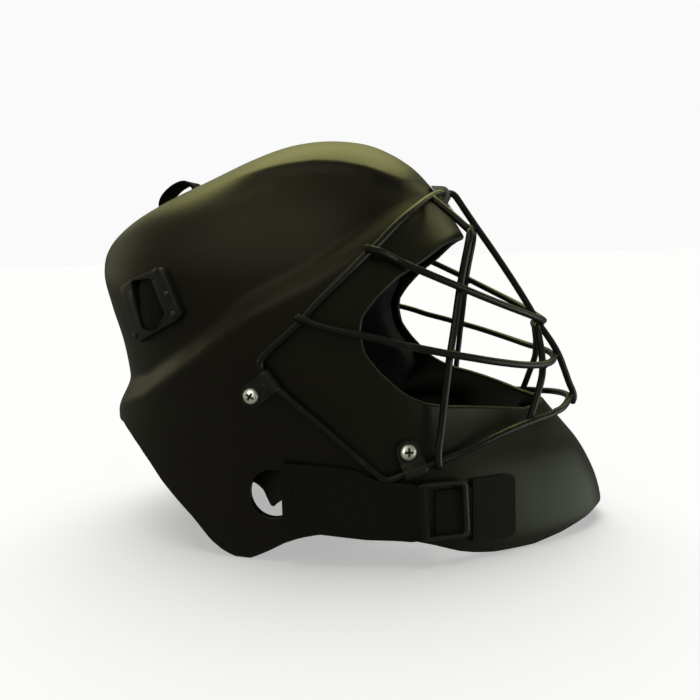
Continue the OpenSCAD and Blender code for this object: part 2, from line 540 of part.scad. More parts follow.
// Webs of the plate behind the head. Each side web comes out through its slot and turns
// back in, and the top web makes a loop over the crown.
module side_web() ribbon(band([[-127, 121, -19.5, 20], [-122, 134, -17.5, 20],
    [-116.2, 147, -11, 20], [-115.2, 151.5, -5, 20], [-114.4, 153, 0.4, 20], [-112.2, 153.4, 2.6, 20],
    [-109.8, 153.4, 2.7, 20], [-107.4, 153, 0.6, 20], [-106.4, 152, -5, 20], [-106, 151, -10, 20]],
    web_t));
module harness_web_right() color("#1a1a1a") side_web();
module harness_web_left() color("#1a1a1a") left() side_web();
top_web_path = curve([for (p = [[-101.5, 0, 214], [-103, 0, 222], [-104.6, 0, 230], [-108.5, 0, 234.2],
    [-114, 0, 234.8], [-121, 0, 231.8], [-127.4, 0, 226.4], [-130.2, 0, 221], [-129.8, 0, 216],
    [-129.8, 0, 211.4], [-133, 0, 205], [-142, 0, 194.4], [-149, 0, 180], [-149.4, 0, 163.5],
    [-148.2, 0, 154.5], [-146.9, 0, 148], [-145.2, 0, 142.1], [-143.3, 0, 135.4],
    [-142, 0, 129.4]]) at(p)], 2);
module top_web() {
    n = [for (i = [0:len(top_web_path) - 1]) unit(cross([0, 1, 0], tangent(top_web_path, i)))];
    function rowof(e) = [for (i = [0:len(top_web_path) - 1]) [for (k = [0:1])
        top_web_path[i] + e * n[i] * web_t / 2 + [0, (k - 0.5) * web_width, 0]]];
    slab(rowof(1), rowof(-1));
}
module harness_web_top() color("#1a1a1a") top_web();

// The elastic neck strap lies on the cheek, passes in through the round hole and goes
// round behind the neck to the other side.
strap_low = strap_t / 2 + 0.4;
strap_high = 1.5 * strap_t + 0.6;
loop_r = ring_bar / 2 + 0.5 + strap_t / 2;
function narrow(f) = strap_width * f;
// Below the cage's lower bend the strap is gathered, and in its hole it follows the hole.
function under(f) = min(strap_width, 38) * f;
strap_side = [[57.6, 31, ring_out + 0.6 - loop_r + 0.1, under(0.8)],
    [50, 31.6, strap_low + 0.3, under(0.82)], [40, 32, strap_low, under(0.84)],
    [32, 33.4, strap_low, under(0.9)], [23, 36, strap_low, narrow(0.97)],
    [8, 38.4, strap_low, strap_width], [-8, 40.2, strap_low, strap_width],
    [-17, 41, strap_low + 0.1, strap_hole_d * 0.96], [-22.5, 41.4, -0.7, strap_hole_d * 0.8],
    [-26.5, 41.8, -3.4, strap_hole_d * 0.76], [-31.5, 42.6, -7.6, strap_hole_d * 0.8],
    [-42, 45.5, -10.5, narrow(0.8)], [-60, 52, -11.5, narrow(0.86)], [-85, 60, -12.5, narrow(0.86)]];
strap_back = [for (p = [[-108, -58, 66, 0.86], [-120, -32, 69, 0.86], [-124, 0, 70, 0.86]])
    [p[0] * scaled[0], p[1] * scaled[1], p[2] * scaled[2], narrow(p[3])]];
module neck_strap() color("#161616") {
    p = curve(concat([for (q = strap_side) side(q[0], q[1], q[2])],
        [for (q = strap_back) [q[0], q[1], q[2]]]), 2, 0);
    v = curve(concat([for (q = strap_side) unit(side(q[0], q[1] + 6) - side(q[0], q[1] - 6))],
        [for (q = strap_back) [0, 0, 1]]), 2, 0);
    w = curve(concat([for (q = strap_side) q[3]], [for (q = strap_back) q[3]]), 2, 0);
    k = len(p) - 1;
    rows = [for (i = [0:k]) let (up = unit(v[i]),
        t = i < k ? tangent(p, i) : [0, 1, 0], n = unit(cross(up, t)))
        [for (e = [1, -1]) [for (j = [0:3]) p[i] + up * w[i] * (j / 3 - 0.5) + e * n * strap_t / 2]]];
    slab(concat([for (r = rows) r[0]], [for (i = [k - 1:-1:0]) mirrored(rows[i][0])]),
        concat([for (r = rows) r[1]], [for (i = [k - 1:-1:0]) mirrored(rows[i][1])]));
}
// The strap's end turns round the ring's rear bar and lies back on the strap.
bar_at = side(ring_place[0], ring_place[1]);
function in_ring(x, z) = ring_seat[0] + ring_seat[1] * x + ring_seat[3] * z;
strap_end_ring = [for (a = [-95, -60, -25, 10, 45, 80]) [cos(a), sin(a)]];
module strap_turn() color("#1b1b1b") {
    back = [[52, 31.4, strap_high + 3, under(0.82)], [45, 31.8, strap_high + 1.2, under(0.83)],
        [36, 32.6, strap_high, under(0.86)], [28, 34.4, strap_high, under(0.93)],
        [20, 36.8, strap_high, strap_width], [6, 38.6, strap_high, strap_width],
        [-8, 40.2, strap_high, strap_width], [-20, 41.2, strap_high, strap_width]];
    p = curve(concat([for (q = strap_end_ring) in_ring(-ring_half[0] + loop_r * q[0], ring_out + loop_r * q[1])],
        [for (q = back) side(q[0], q[1], q[2])]), 2, 0);
    v = curve(concat([for (q = strap_end_ring) ring_seat[2]],
        [for (q = back) unit(side(q[0], q[1] + 6) - side(q[0], q[1] - 6))]), 2, 0);
    w = curve(concat([for (q = strap_end_ring) under(0.78)], [for (q = back) q[3]]), 2, 0);
    rows = [for (i = [0:len(p) - 1]) let (up = unit(v[i]), n = unit(cross(up, tangent(p, i))))
        [for (e = [1, -1]) [for (j = [0:3]) p[i] + up * w[i] * (j / 3 - 0.5) + e * n * strap_t / 2]]];
    slab([for (r = rows) r[0]], [for (r = rows) r[1]]);
}
module strap_end_right() strap_turn();
module strap_end_left() left() strap_turn();

// Rectangular buckle ring. Its front bar turns in the anchor's loop.
module ring() color("#2d2d2c") in_seat(ring_seat) {
    a = ring_half[0]; b = ring_half[1];
    for (x = [-a, a]) translate([x, b, ring_out]) rotate([90, 0, 0]) cylinder(d = ring_bar, h = 2 * b);
    for (y = [-b, b]) translate([-a - ring_bar / 2, y - 1.4, ring_out - ring_bar / 2])
        cube([2 * a + ring_bar, 2.8, ring_bar]);
}
module buckle_ring_right() ring();
module buckle_ring_left() left() ring();

// The woven patch that holds the ring's front bar in its loop.
module anchor() color("#1d1d1c") difference() {
    union() {
        slab([for (z = [7:6.5:46]) [for (x = [113, 106, 99, 93, 88]) side(x, z, 3)]],
            [for (z = [7:6.5:46]) [for (x = [113, 106, 99, 93, 88]) side(x, z, 0.25)]]);
        in_seat(ring_seat) rotate([90, 0, 0]) linear_extrude(2 * ring_half[1] - 4, center = true) {
            translate([ring_half[0], ring_out]) circle(ring_bar / 2 + 1.6);
            polygon([[ring_half[0], ring_out + ring_bar / 2 + 1.6], [ring_half[0] + 3.4, ring_out + 2.4],
                [ring_half[0] + 9, 2.2], [ring_half[0] + 9, 0.4],
                [ring_half[0] + 1, ring_out - ring_bar / 2 - 1.5]]);
        }
    }
    in_seat(ring_seat) translate([ring_half[0], 0, ring_out]) rotate([90, 0, 0])
        cylinder(d = ring_bar + 0.2, h = 60, center = true);
    for (p = anchor_rivets_at) drill(p, 4, -2, 2.2);
}
module ring_anchor_right() anchor();
module ring_anchor_left() left() anchor();
module anchor_rivets() color("#55534f") both() for (p = anchor_rivets_at) {
    drill(p, 4, -wall - 1, 2.2);
    drill(p, 9, -wall - 1, -wall + 0.4);
}

// Foam pads. Each is a crowned cushion between two depths under the skin, its corners
// rounded and its edges drawn in. Pads are laid out by x and z, or by bearing and z.
inner = wall + 0.4;
function squeeze(u, v) = [u * sqrt(1 - 0.22 * v * v), v * sqrt(1 - 0.22 * u * u)];
function crown(u, v) = 0.45 + 0.55 * sqrt(max(0, (1 - pow(u, 6)) * (1 - pow(v, 6))));
steps = [-1, -0.93, -0.75, -0.4, 0, 0.4, 0.75, 0.93, 1];
// A pad's front and rear edges are side view outlines z to x.
module cheek_pad(z1, z2, fore, aft, t = pad_t, skip = 0) {
    function spot(u, v, d, detail) = let (q = squeeze(u, v), z = (z1 + z2) / 2 + q[1] * (z2 - z1) / 2,
        xa = lookup(z, aft), xf = lookup(z, fore)) side((xa + xf) / 2 + q[0] * (xf - xa) / 2, z, -d, detail);
    slab([for (v = steps) [for (u = steps) spot(u, v, inner + skip, 1)]],
        [for (v = steps) [for (u = steps) spot(u, v, wall + skip + t * crown(u, v), 0)]]);
}
module round_pad(b1, b2, z1, z2, t = pad_t, skip = 0) {
    function spot(u, v, d, detail) = let (q = squeeze(u, v), z = (z1 + z2) / 2 + q[1] * (z2 - z1) / 2)
        place((b1 + b2) / 2 + q[0] * (b2 - b1) / 2, level(z), -d, detail);
    slab([for (v = steps) [for (u = steps) spot(u, v, inner + skip, 1)]],
        [for (v = steps) [for (u = steps) spot(u, v, wall + skip + t * crown(u, v), 0)]]);
}
// The crown's pad goes by x and y under the roof.
function roof(x, y, lo = 9, hi = top, n = 14) = let (m = (lo + hi) / 2, v = section(m),
    c = -20 + 10 * pow(max(0, (v[0] - 200) / 54.3), 2),
    f = pow(abs(x > c ? (x - c) / (v[2] - c) : (c - x) / (c - v[1])), 2)
        + pow(abs(y) / max(0.1, v[3]), 2))
    n == 0 ? at([x, y, v[0]]) : f < 1 ? roof(x, y, m, hi, n - 1) : roof(x, y, lo, m, n - 1);
module roof_pad() {
    function spot(u, v) = let (q = squeeze(u, v)) roof(-37 + 58 * q[0], 47 * q[1]);
    function lift(p, d) = p - [0, 0, d];
    slab([for (v = steps) [for (u = steps) lift(spot(u, v), inner - 1.5 + 3 * (u * u + v * v))]],
        [for (v = steps) [for (u = steps) lift(spot(u, v), wall - 1.5 + 3 * (u * u + v * v) + pad_t * crown(u, v))]]);
}
module crown_pad() color("#22242a") roof_pad();
module pocketed() difference() {
    children();
    for (c = [upper, lower]) in_seat(c[0]) translate([0, 0, -wall - 7]) cylinder(d = 14, h = 8);
}
module side_pad_right() color("#22242a") pocketed() cheek_pad(72, 178,
    [[72, 20], [90, 24], [104, 20], [125, 17], [140, 16], [152, 22], [166, 36], [178, 46]],
    [[72, -70], [120, -84], [178, -84]], pad_t, 1.7);
module side_pad_left() left() side_pad_right();
module jaw_pad_right() color("#22242a") pocketed() cheek_pad(26, 66, [[26, 80], [66, 78]],
    [[26, 22], [66, 22]], pad_t * 0.8);
module jaw_pad_left() left() jaw_pad_right();
module brow_pad() color("#22242a") difference() {
    round_pad(-52, 52, 194, 218, pad_t);
    for (y = brow_rivet_y) in_seat(brow_seat) translate([brow_rivet_x, y, -14]) cylinder(d = 8, h = 11);
}
module chin_pad() color("#22242a") round_pad(-33, 33, 24, 70, pad_t * 0.8, 0.3);
module rear_pad_right() color("#22242a") round_pad(118, 166, 164, 202, pad_t * 0.8, 0.3);
module rear_pad_left() left() rear_pad_right();

// The adjustable plate behind the head, and its own pad.
module occipital_plate() color("#2f2f2e") slab(
    [for (v = [-1:0.25:1]) [for (b = [142:4.75:218]) place(b, level(116 + v * 22), -21, 0)]],
    [for (v = [-1:0.25:1]) [for (b = [142:4.75:218]) place(b, level(116 + v * 22), -23.5, 0)]]);
module plate_pad() {
    function spot(u, v, d) = let (q = squeeze(u, v)) place(180 + 36 * q[0], level(116 + 20 * q[1]), -d, 0);
    slab([for (v = steps) [for (u = steps) spot(u, v, 24)]],
        [for (v = steps) [for (u = steps) spot(u, v, 24 + pad_t * 0.7 * crown(u, v))]]);
}
module occipital_pad() color("#22242a") plate_pad();

shell();
cage_rim();
upper_bar();
lower_bar();
centre_wire();
brow_hoop();
mouth_hoop();
brow_strut_right();
brow_strut_left();
upper_clip_right();
upper_clip_left();
lower_clip_right();
lower_clip_left();
clip_screws();
clip_nuts();
brow_clip();
brow_rivets();
slot_plate_right();
slot_plate_left();
slot_plate_rivets();
harness_web_right();
harness_web_left();
harness_web_top();
neck_strap();
strap_end_right();
strap_end_left();
buckle_ring_right();
buckle_ring_left();
ring_anchor_right();
ring_anchor_left();
anchor_rivets();
side_pad_right();
side_pad_left();
jaw_pad_right();
jaw_pad_left();
brow_pad();
chin_pad();
crown_pad();
rear_pad_right();
rear_pad_left();
occipital_plate();
occipital_pad();
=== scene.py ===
"""Visual model of a field hockey goalkeeper helmet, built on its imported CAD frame.

The file holds, in this order: the drawing's numbers and the formula of the shell's skin,
helpers for curves and meshes, shader groups, materials, the makers of the pieces, the stage,
and then the settings, operators and panel. Lengths are millimetres in the helmet's own frame
(+X forwards, +Z up, its right side is -Y), and mesh_piece() turns them into metres.

The shell's outer skin is a stack of horizontal superellipses:
  x = c + h * sign(cos b) |cos b|^(2/n),  y = -w * |sin b|^(2/n)
with the bearing b from the face (0) over the right side to the nape (180). Centre c, half
length h, half width w and fullness n run through seventeen sections on a spline, and a
groove and a crest are added as smooth steps.
"""

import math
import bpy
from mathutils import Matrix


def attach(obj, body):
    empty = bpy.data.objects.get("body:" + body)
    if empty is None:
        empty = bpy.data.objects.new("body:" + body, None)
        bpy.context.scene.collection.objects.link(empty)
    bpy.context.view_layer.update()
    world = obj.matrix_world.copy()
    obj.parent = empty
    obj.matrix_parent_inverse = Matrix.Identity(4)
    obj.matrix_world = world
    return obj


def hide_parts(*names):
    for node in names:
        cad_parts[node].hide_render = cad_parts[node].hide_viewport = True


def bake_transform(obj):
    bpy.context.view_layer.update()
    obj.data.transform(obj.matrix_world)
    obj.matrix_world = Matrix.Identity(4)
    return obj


bl_info = {
    "name": "Goalkeeper helmet",
    "version": (1, 0, 0),
    "blender": (4, 5, 0),
    "location": "View3D > Sidebar > Helmet",
    "description": "Builds a field hockey goalkeeper helmet on its packed frame",
    "category": "Object",
}

import bmesh
import bpy
import numpy as np
from bpy.props import FloatProperty, FloatVectorProperty, PointerProperty
from mathutils import Matrix, Vector

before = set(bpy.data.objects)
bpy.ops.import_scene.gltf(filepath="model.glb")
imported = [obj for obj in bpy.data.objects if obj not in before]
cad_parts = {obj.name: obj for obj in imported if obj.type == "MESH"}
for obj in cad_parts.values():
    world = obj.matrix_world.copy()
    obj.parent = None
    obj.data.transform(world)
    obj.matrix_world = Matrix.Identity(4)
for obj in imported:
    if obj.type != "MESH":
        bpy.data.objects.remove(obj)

MM = 0.001
# the rim wire's middle stands this far off the skin
RIM_OUT = 4.05
# the buckle ring in its seat: height of its middle, x of its rear and front bar, half width
RING_OUT, RING_X, RING_HALF = 4.6, (-15.0, 12.4), 15.6
# play between a clip and the wire that it grips
GRIP_PLAY = 0.12
HANDS = (("right", False), ("left", True))


def mm(name):
    """A size from the settings in millimetres, without single precision's last digits."""
    return round(getattr(bpy.context.scene.helmet_sizes, name) / MM, 4)



# ---------------------------------------------------------------- surface of the shell
# Each row: height, rear end, front end, half width, fullness of the front and of the rear.
SECTIONS = np.array([
    [0, -161, 172, 97, 1.85, 2.0], [12, -161, 173, 97, 1.85, 2.0],
    [30, -161, 168.5, 97, 1.82, 2.0], [50, -161, 158.5, 96.5, 1.8, 2.0],
    [66, -160.5, 146, 96, 1.78, 2.0], [82, -159, 133.5, 96, 1.78, 2.0],
    [100, -158, 126, 96, 1.8, 2.0], [125, -161, 115, 95.5, 1.85, 2.05],
    [150, -168, 103, 93.5, 1.95, 2.1], [172, -172.5, 92, 90, 2.0, 2.15],
    [190, -168, 83, 84.5, 2.05, 2.15], [206, -151.5, 73.5, 77.5, 2.1, 2.1],
    [220, -126, 63.5, 68, 2.1, 2.05], [233, -95, 50, 55.5, 2.05, 2.0],
    [243.5, -65, 35, 41, 2.0, 2.0], [251, -37, 17, 23, 2.0, 2.0],
    [254.3, -10, -10, 0, 2.0, 2.0]], float)
# The rows run on past both ends of the stack, for the spline's slopes there.
TOP = len(SECTIONS) - 1
OVER_TOP = SECTIONS[TOP - 1] * [1, 0, 0, -1, 1, 1]
OVER_TOP[1:3] = SECTIONS[TOP - 1][[2, 1]]
CONTROL = np.vstack([2 * SECTIONS[0] - SECTIONS[1], SECTIONS, OVER_TOP])
# Side view outlines, x then z: the groove over the flank, the crest over the brow, the lower
# and upper edges of the face opening, and the cut along the bottom.
GROOVE = np.array([(-175, 96), (-150, 102), (-118, 109), (-76, 134), (-38, 162), (-2, 179.5),
                   (23, 197), (46, 214), (60, 224)], float)
CREST = np.array([(-175, 188), (-120, 209), (-85, 223), (-62, 229), (-40.7, 231.9), (-20.3, 234),
                  (-5.5, 235.2), (9.7, 233.7), (22.5, 230.7), (34.4, 226.4), (44.9, 222.2),
                  (62, 221.5), (80, 205)], float)
LIP = np.array([(27.3, 137), (28.1, 130), (29.7, 124), (33, 119), (37.8, 112.7), (43.8, 106.5),
                (49.8, 100.6), (56.4, 96.2), (63.6, 92.8), (74.3, 90), (84.7, 88.6),
                (95.3, 86.8), (108.7, 84.2), (122.9, 81), (133.5, 81)], float)
BROW = np.array([(27.3, 137), (28.3, 144), (31.6, 149), (36, 154.6), (42, 160.6), (48.4, 166.6),
                 (56, 171.7), (63.3, 176.9), (68.7, 181.5), (74, 185.7), (78.6, 188.2),
                 (82.7, 189.6), (84, 188)], float)
CUT = np.array([(-169, 67), (-157, 70), (-147, 71), (-137, 66), (-128, 60), (-117, 51),
                (-106.5, 40.6), (-94.5, 30.7), (-82.6, 21.1), (-76, 14.3), (-70, 8.2), (-62, 3),
                (-54, 0), (-43, 0), (-31, 5.6), (-21, 11), (-11, 14.5), (-1, 16.5), (14, 17.9),
                (30.6, 16.8), (49, 13.5), (67, 8.8), (81.6, 3.6), (91, 1.4), (102, 0), (126, 0),
                (143.6, 3), (161.6, 7.7), (169, 10.3)], float)
# steps of the skin: how far the flank stands out and over what height it does so, the same
# for the crest's lift, how far the wall leans out under the crest, and the rear corner of
# the face opening
FLANK_OUT, FLANK_SOFT, RIDGE_UP, RIDGE_SOFT, CREASE_OUT = 8.0, 17.0, 3.5, 6.5, 5.0
OPEN_BACK, OPEN_END = 27.3, 137.0
CROWN_X, CROWN_Z = -10.0, 254.3
# from the drawing to the real size
SCALE = np.array([346 / 345.5, 1.0, 257 / 257.8])


def smooth(t):
    """A soft step: 3 t^2 - 2 t^3, with t held between 0 and 1."""
    t = np.clip(t, 0, 1)
    return t * t * (3 - 2 * t)


def unit(v):
    """Vectors divided by their own lengths."""
    v = np.asarray(v, float)
    return v / np.maximum(np.linalg.norm(v, axis=-1, keepdims=True), 1e-12)


def signed_pow(v, e):
    """The size of v to the power e, with the sign of v."""
    return np.sign(v) * np.abs(v) ** e


def catmull(a, b, c, d, t):
    """The Catmull-Rom cubic from b to c: its end slopes are half of c - a and of d - b."""
    return 0.5 * (2 * b + (c - a) * t + (2 * a - 5 * b + 4 * c - d) * t ** 2
                  + (3 * b - a - 3 * c + d) * t ** 3)


def section(s):
    """The section at a level: the cubic through the four rows of SECTIONS next to it."""
    s = np.asarray(s, float)
    i = np.clip(np.floor(s).astype(int), 0, TOP - 1)
    t = (s - i)[..., None]
    return catmull(CONTROL[i], CONTROL[i + 1], CONTROL[i + 2], CONTROL[i + 3], t)


def middle(z):
    """The x of a section's centre: -20, and from height 200 on forwards by a parabola."""
    return -20 + 10 * np.clip((z - 200) / 54.3, 0, None) ** 2


def skin(bearing, s, detail=1.0):
    """Drawn millimetres of the outer skin at a bearing in degrees and a level.

    The section's superellipse gives x and y. Under the groove a soft step pushes the skin out
    along the plan's normal. Over the crest's line a soft step lifts it. Near that line, with t
    the height over it, the wall leans out by the lesser of e^(t / 12) and 1 - t / 15, rounded
    where they meet. detail scales all three steps, and 0 leaves them off."""
    bearing, s = np.broadcast_arrays(np.asarray(bearing, float), np.asarray(s, float))
    v = section(s)
    z = v[..., 0]
    c = middle(z)
    cb, sb = np.cos(np.radians(bearing)), np.sin(np.radians(bearing))
    h = np.maximum(0.5, np.where(cb > 0, v[..., 2] - c, c - v[..., 1]))
    n = np.where(cb > 0, v[..., 4], v[..., 5])
    x = c + h * signed_pow(cb, 2 / n)
    y = -v[..., 3] * signed_pow(sb, 2 / n)
    away = unit(np.stack([cb / h, -sb / np.maximum(0.5, v[..., 3])], -1))
    # the flank's step is softer at the nape, and the skirt's lip turns in there
    soft = FLANK_SOFT + 9 * smooth((-118 - x) / 42)
    lip = 1 - 0.3 * smooth((77 - z) / 12) * smooth((-140 - x) / 25)
    flank = detail * FLANK_OUT * lip * smooth((np.interp(x, *GROOVE.T) - z) / soft) \
        * (1 - smooth((cb - 0.45) / 0.55))
    # the crest grows from the nape forwards, and its edge gets crisp over the ear
    t = z - np.interp(x, *CREST.T)
    behind = smooth((x + 95) / 70)
    crisp = smooth((x + 76) / 52)
    ridge = detail * RIDGE_UP * behind * smooth((75 - x) / 30) \
        * smooth(1 + (t - 1) / (RIDGE_SOFT + 14 * (1 - crisp)))
    a, b = np.exp(np.minimum(t, 9) / 12), 1 - t / 15
    crease = np.maximum(0, (a + b - np.sqrt((a - b) ** 2 + 0.02)) / 2)
    push = flank + detail * CREASE_OUT * crisp * smooth((60 - x) / 36) * crease
    return np.stack([x + push * away[..., 0], y + push * away[..., 1], z + ridge], -1)


def place(bearing, s, out=0.0, detail=1.0):
    """The same point in real size, moved out along the skin's normal, which is the cross
    product of the skin's differences over a small step in level and in bearing."""
    bearing, s = np.asarray(bearing, float), np.asarray(s, float)
    p = skin(bearing, s, detail) * SCALE
    u = (skin(bearing, s + 0.03, detail) - skin(bearing, s - 0.03, detail)) * SCALE
    w = (skin(bearing + 1, s, detail) - skin(bearing - 1, s, detail)) * SCALE
    return p + np.asarray(out, float)[..., None] * unit(np.cross(u, w))


LEVELS = np.linspace(0, TOP, 4001)
HEIGHTS = section(LEVELS)[:, 0]


def level(z):
    """The level of a height, from a dense table of the sections."""
    return np.interp(z, HEIGHTS, LEVELS)


def bisect(low, high, too_low, n=34):
    """The place between low and high where too_low turns false, by halving n times."""
    low, high = np.array(low, float), np.array(high, float)
    for _ in range(n):
        m = (low + high) / 2
        t = too_low(m)
        low, high = np.where(t, m, low), np.where(t, high, m)
    return (low + high) / 2


def bearing_of(axis, value, s, last):
    """The bearing up to last where the skin's x (axis 0) or y (axis 1) falls to a value."""
    value, s = np.broadcast_arrays(np.asarray(value, float), np.asarray(s, float))
    return bisect(np.zeros(value.shape), np.full(value.shape, last),
                  lambda m: skin(m, s)[..., axis] > value)


def meet(bearing, line, low, high):
    """The level between two levels where the skin rises through a side view outline."""
    b = np.asarray(bearing, float)

    def below(m):
        p = skin(b, m)
        return p[..., 2] < np.interp(p[..., 0], *line.T)
    return bisect(np.full(b.shape, low), np.full(b.shape, high), below)


def side(x, z, out=0.0, detail=1.0):
    """The point of the right side at x and z of the drawing, moved out from the skin."""
    s = level(z)
    return place(bearing_of(0, x, s, 180.0), s, out, detail)


def front(y, z, out=0.0):
    """The point of the front's right half at y and z of the drawing, moved out."""
    s = level(z)
    return place(bearing_of(1, y, s, 90.0), s, out)


def over(points, out):
    """Points (x, z, more) of the right side, each moved out by out and its own more."""
    p = np.array([(q + (0,))[:3] for q in points], float)
    return side(p[:, 0], p[:, 1], p[:, 2] + out)


def seat(a, b):
    """Frame on the right side: origin on the skin at a, Z outwards, X towards b."""
    a, b = np.array(a, float), np.array(b, float)
    o, q, m = side(*a), side(*b), (a + b) / 2
    z = unit(side(*m, 1.0) - side(*m, 0.0))
    x = unit((q - o) - ((q - o) @ z) * z)
    return np.array([o, x, np.cross(z, x), z])


def middle_seat(bearing, s):
    """Frame on the skin in the middle plane: Z outwards, Y to the left."""
    o = place(bearing, s)
    z = unit(place(bearing, s, 1.0) - o)
    return np.array([o, np.cross([0, 1, 0], z), [0, 1, 0], z])


def from_seat(f, p):
    """Points given in a frame: its origin and x, y and z times its three axes."""
    p = np.asarray(p, float)
    return f[0] + p[..., :1] * f[1] + p[..., 1:2] * f[2] + p[..., 2:3] * f[3]


def flip(p):
    """The mirror image over the middle plane."""
    return np.asarray(p, float) * [1, -1, 1]


def at(points):
    """Points of the drawing in real size."""
    return np.array(points, float) * SCALE


# ---------------------------------------------------------------- curves and meshes
def curve(points, n=6, ends=0):
    """Smooth curve through points, n cubics' steps to each; ends is 1 or 2 where the first
    or both ends lie on the middle plane, and the curve goes on as its mirror image there."""
    p = np.asarray(points, float)
    first = p[1] * [1, -1, 1] if ends > 0 else 2 * p[0] - p[1]
    last = p[-2] * [1, -1, 1] if ends > 1 else 2 * p[-1] - p[-2]
    q = np.vstack([first, p, last])
    t = np.arange(n)[:, None] / n
    parts = [catmull(q[i], q[i + 1], q[i + 2], q[i + 3], t) for i in range(len(p) - 1)]
    return np.vstack(parts + [p[-1:]])


def run(p):
    """The distance along a path at each of its points: the sum of the steps before it."""
    return np.concatenate([[0], np.cumsum(np.linalg.norm(np.diff(p, axis=0), axis=1))])


def along_path(p, d, k):
    """The points at distances k on a path whose own points lie at distances d."""
    return np.stack([np.interp(k, d, p[:, i]) for i in range(p.shape[1])], -1)


def tangents(p, loop=False):
    """Directions along a path: the difference of the neighbours of each point."""
    if loop:
        return unit(np.roll(p, -1, 0) - np.roll(p, 1, 0))
    return unit(np.gradient(p, axis=0))


def carried(t, start):
    """Side vectors along a path without twist: each is the one before it, less its part
    along the path."""
    u = [unit(start - (start @ t[0]) * t[0])]
    for k in t[1:]:
        u.append(unit(u[-1] - (u[-1] @ k) * k))
    return np.array(u)


def tube_rings(p, d, sides=16, start=(0, 0, 1), loop=False, round_ends=True):
    """Rings of a round tube along p: each point plus half of d times cos and sin of the angle
    along two side vectors. Open ends are drawn in to a dome by three smaller rings."""
    p = np.asarray(p, float)
    r = np.full(len(p), 1.0) * np.asarray(d, float) / 2
    t = tangents(p, loop)
    if round_ends and not loop:
        a, b = t[0].copy(), t[-1].copy()
        ra, rb = r[0], r[-1]
        cap = [(0.0, 0.30), (0.18, 0.72), (0.5, 0.94)]
        p = np.vstack([[p[0] + a * ra * (k - 0.55) for k, _ in cap], p,
                       [p[-1] - b * rb * (k - 0.55) for k, _ in cap[::-1]]])
        r = np.concatenate([[ra * m for _, m in cap], r, [rb * m for _, m in cap[::-1]]])
        t = np.vstack([[a] * 3, t, [b] * 3])
    u = carried(t, np.asarray(start, float))
    v = np.cross(t, u)
    ang = 2 * np.pi * (np.arange(sides) + 0.5) / sides
    return p[:, None] + r[:, None, None] * (np.cos(ang)[None, :, None] * u[:, None]
                                            + np.sin(ang)[None, :, None] * v[:, None])


def quads(a, b, c, d):
    """Faces from four arrays of vertex numbers."""
    return [tuple(f) for f in np.stack([a, b, c, d], -1).reshape(-1, 4).tolist()]


def loft_faces(n, m, loop=False):
    """Faces of n rings of m points, closed flat at both ends unless the rings make a loop."""
    row, col = np.meshgrid(np.arange(n if loop else n - 1), np.arange(m), indexing="ij")
    up, on = (row + 1) % n, (col + 1) % m
    faces = quads(row * m + col, row * m + on, up * m + on, up * m + col)
    if not loop:
        faces += [tuple(range(m - 1, -1, -1)), tuple(range((n - 1) * m, n * m))]
    return faces


def mesh_piece(name, parts, material, smooth_angle=40, uv=None, mirror=False):
    """One object from a list of (points in millimetres, faces), its faces turned outwards."""
    blocks = [np.asarray(p, float).reshape(-1, 3) for p, _ in parts]
    starts = np.cumsum([0] + [len(p) for p in blocks])
    faces = [tuple(int(i + k) for i in f) for k, (_, fs) in zip(starts, parts) for f in fs]
    points = np.vstack(blocks)
    mesh = bpy.data.meshes.new(name)
    mesh.from_pydata(((flip(points) if mirror else points) * MM).tolist(), [], faces)
    if uv is not None:
        layer = mesh.uv_layers.new(name="cloth")
        idx = np.zeros(len(mesh.loops), int)
        mesh.loops.foreach_get("vertex_index", idx)
        layer.data.foreach_set("uv", np.asarray(uv, np.float32)[idx].ravel())
    bm = bmesh.new()
    bm.from_mesh(mesh)
    bmesh.ops.recalc_face_normals(bm, faces=bm.faces)
    bm.to_mesh(mesh)
    bm.free()
    mesh.shade_smooth()
    mesh.set_sharp_from_angle(angle=math.radians(smooth_angle))
    obj = bpy.data.objects.new(name, mesh)
    bpy.context.scene.collection.objects.link(obj)
    mesh.materials.append(material)
    return obj


def both_sides(parts):
    """Parts of the right side and their mirror images, with the faces' order turned."""
    return parts + [(flip(q), [tuple(f)[::-1] for f in fs]) for q, fs in parts]


def lathe(profile, seat_frame, sides=40):
    """A turned solid in a seat's frame: radius times cos and sin of the angle, and height."""
    r, z = np.array(profile, float).T[..., None]
    a = 2 * np.pi * np.arange(sides) / sides
    pts = np.stack([r * np.cos(a), r * np.sin(a), z + 0 * a], -1)
    return from_seat(seat_frame, pts), loft_faces(len(profile), sides)


def prism(outline, heights, seat_frame, scales=(1, 1)):
    """A straight or tapered solid: the outline at two heights of a seat, scaled at each."""
    o = np.asarray(outline, float)
    pts = np.stack([np.column_stack([o * k, np.full(len(o), z)]) for z, k in zip(heights, scales)])
    return from_seat(seat_frame, pts), loft_faces(2, len(o))


def box(x, y):
    """The outline of a rectangle from -x or x[0] to x[1], and from -y to y."""
    a, b = x if isinstance(x, tuple) else (-x, x)
    return [(a, -y), (b, -y), (b, y), (a, y)]


def boolean(obj, cutter):
    """Cuts one closed solid out of another and removes the cutter."""
    m = obj.modifiers.new("cut", "BOOLEAN")
    m.operation, m.object, m.solver = "DIFFERENCE", cutter, "MANIFOLD"
    made = bpy.data.meshes.new_from_object(
        obj.evaluated_get(bpy.context.evaluated_depsgraph_get()))
    obj.modifiers.clear()
    old, obj.data = obj.data, made
    bpy.data.meshes.remove(old)
    bpy.data.objects.remove(cutter)


def join(obj, *others):
    """Adds the meshes of others to obj and removes them."""
    bm = bmesh.new()
    for o in (obj, *others):
        bm.from_mesh(o.data)
    bm.to_mesh(obj.data)
    bm.free()
    for o in others:
        bpy.data.objects.remove(o)
    return obj


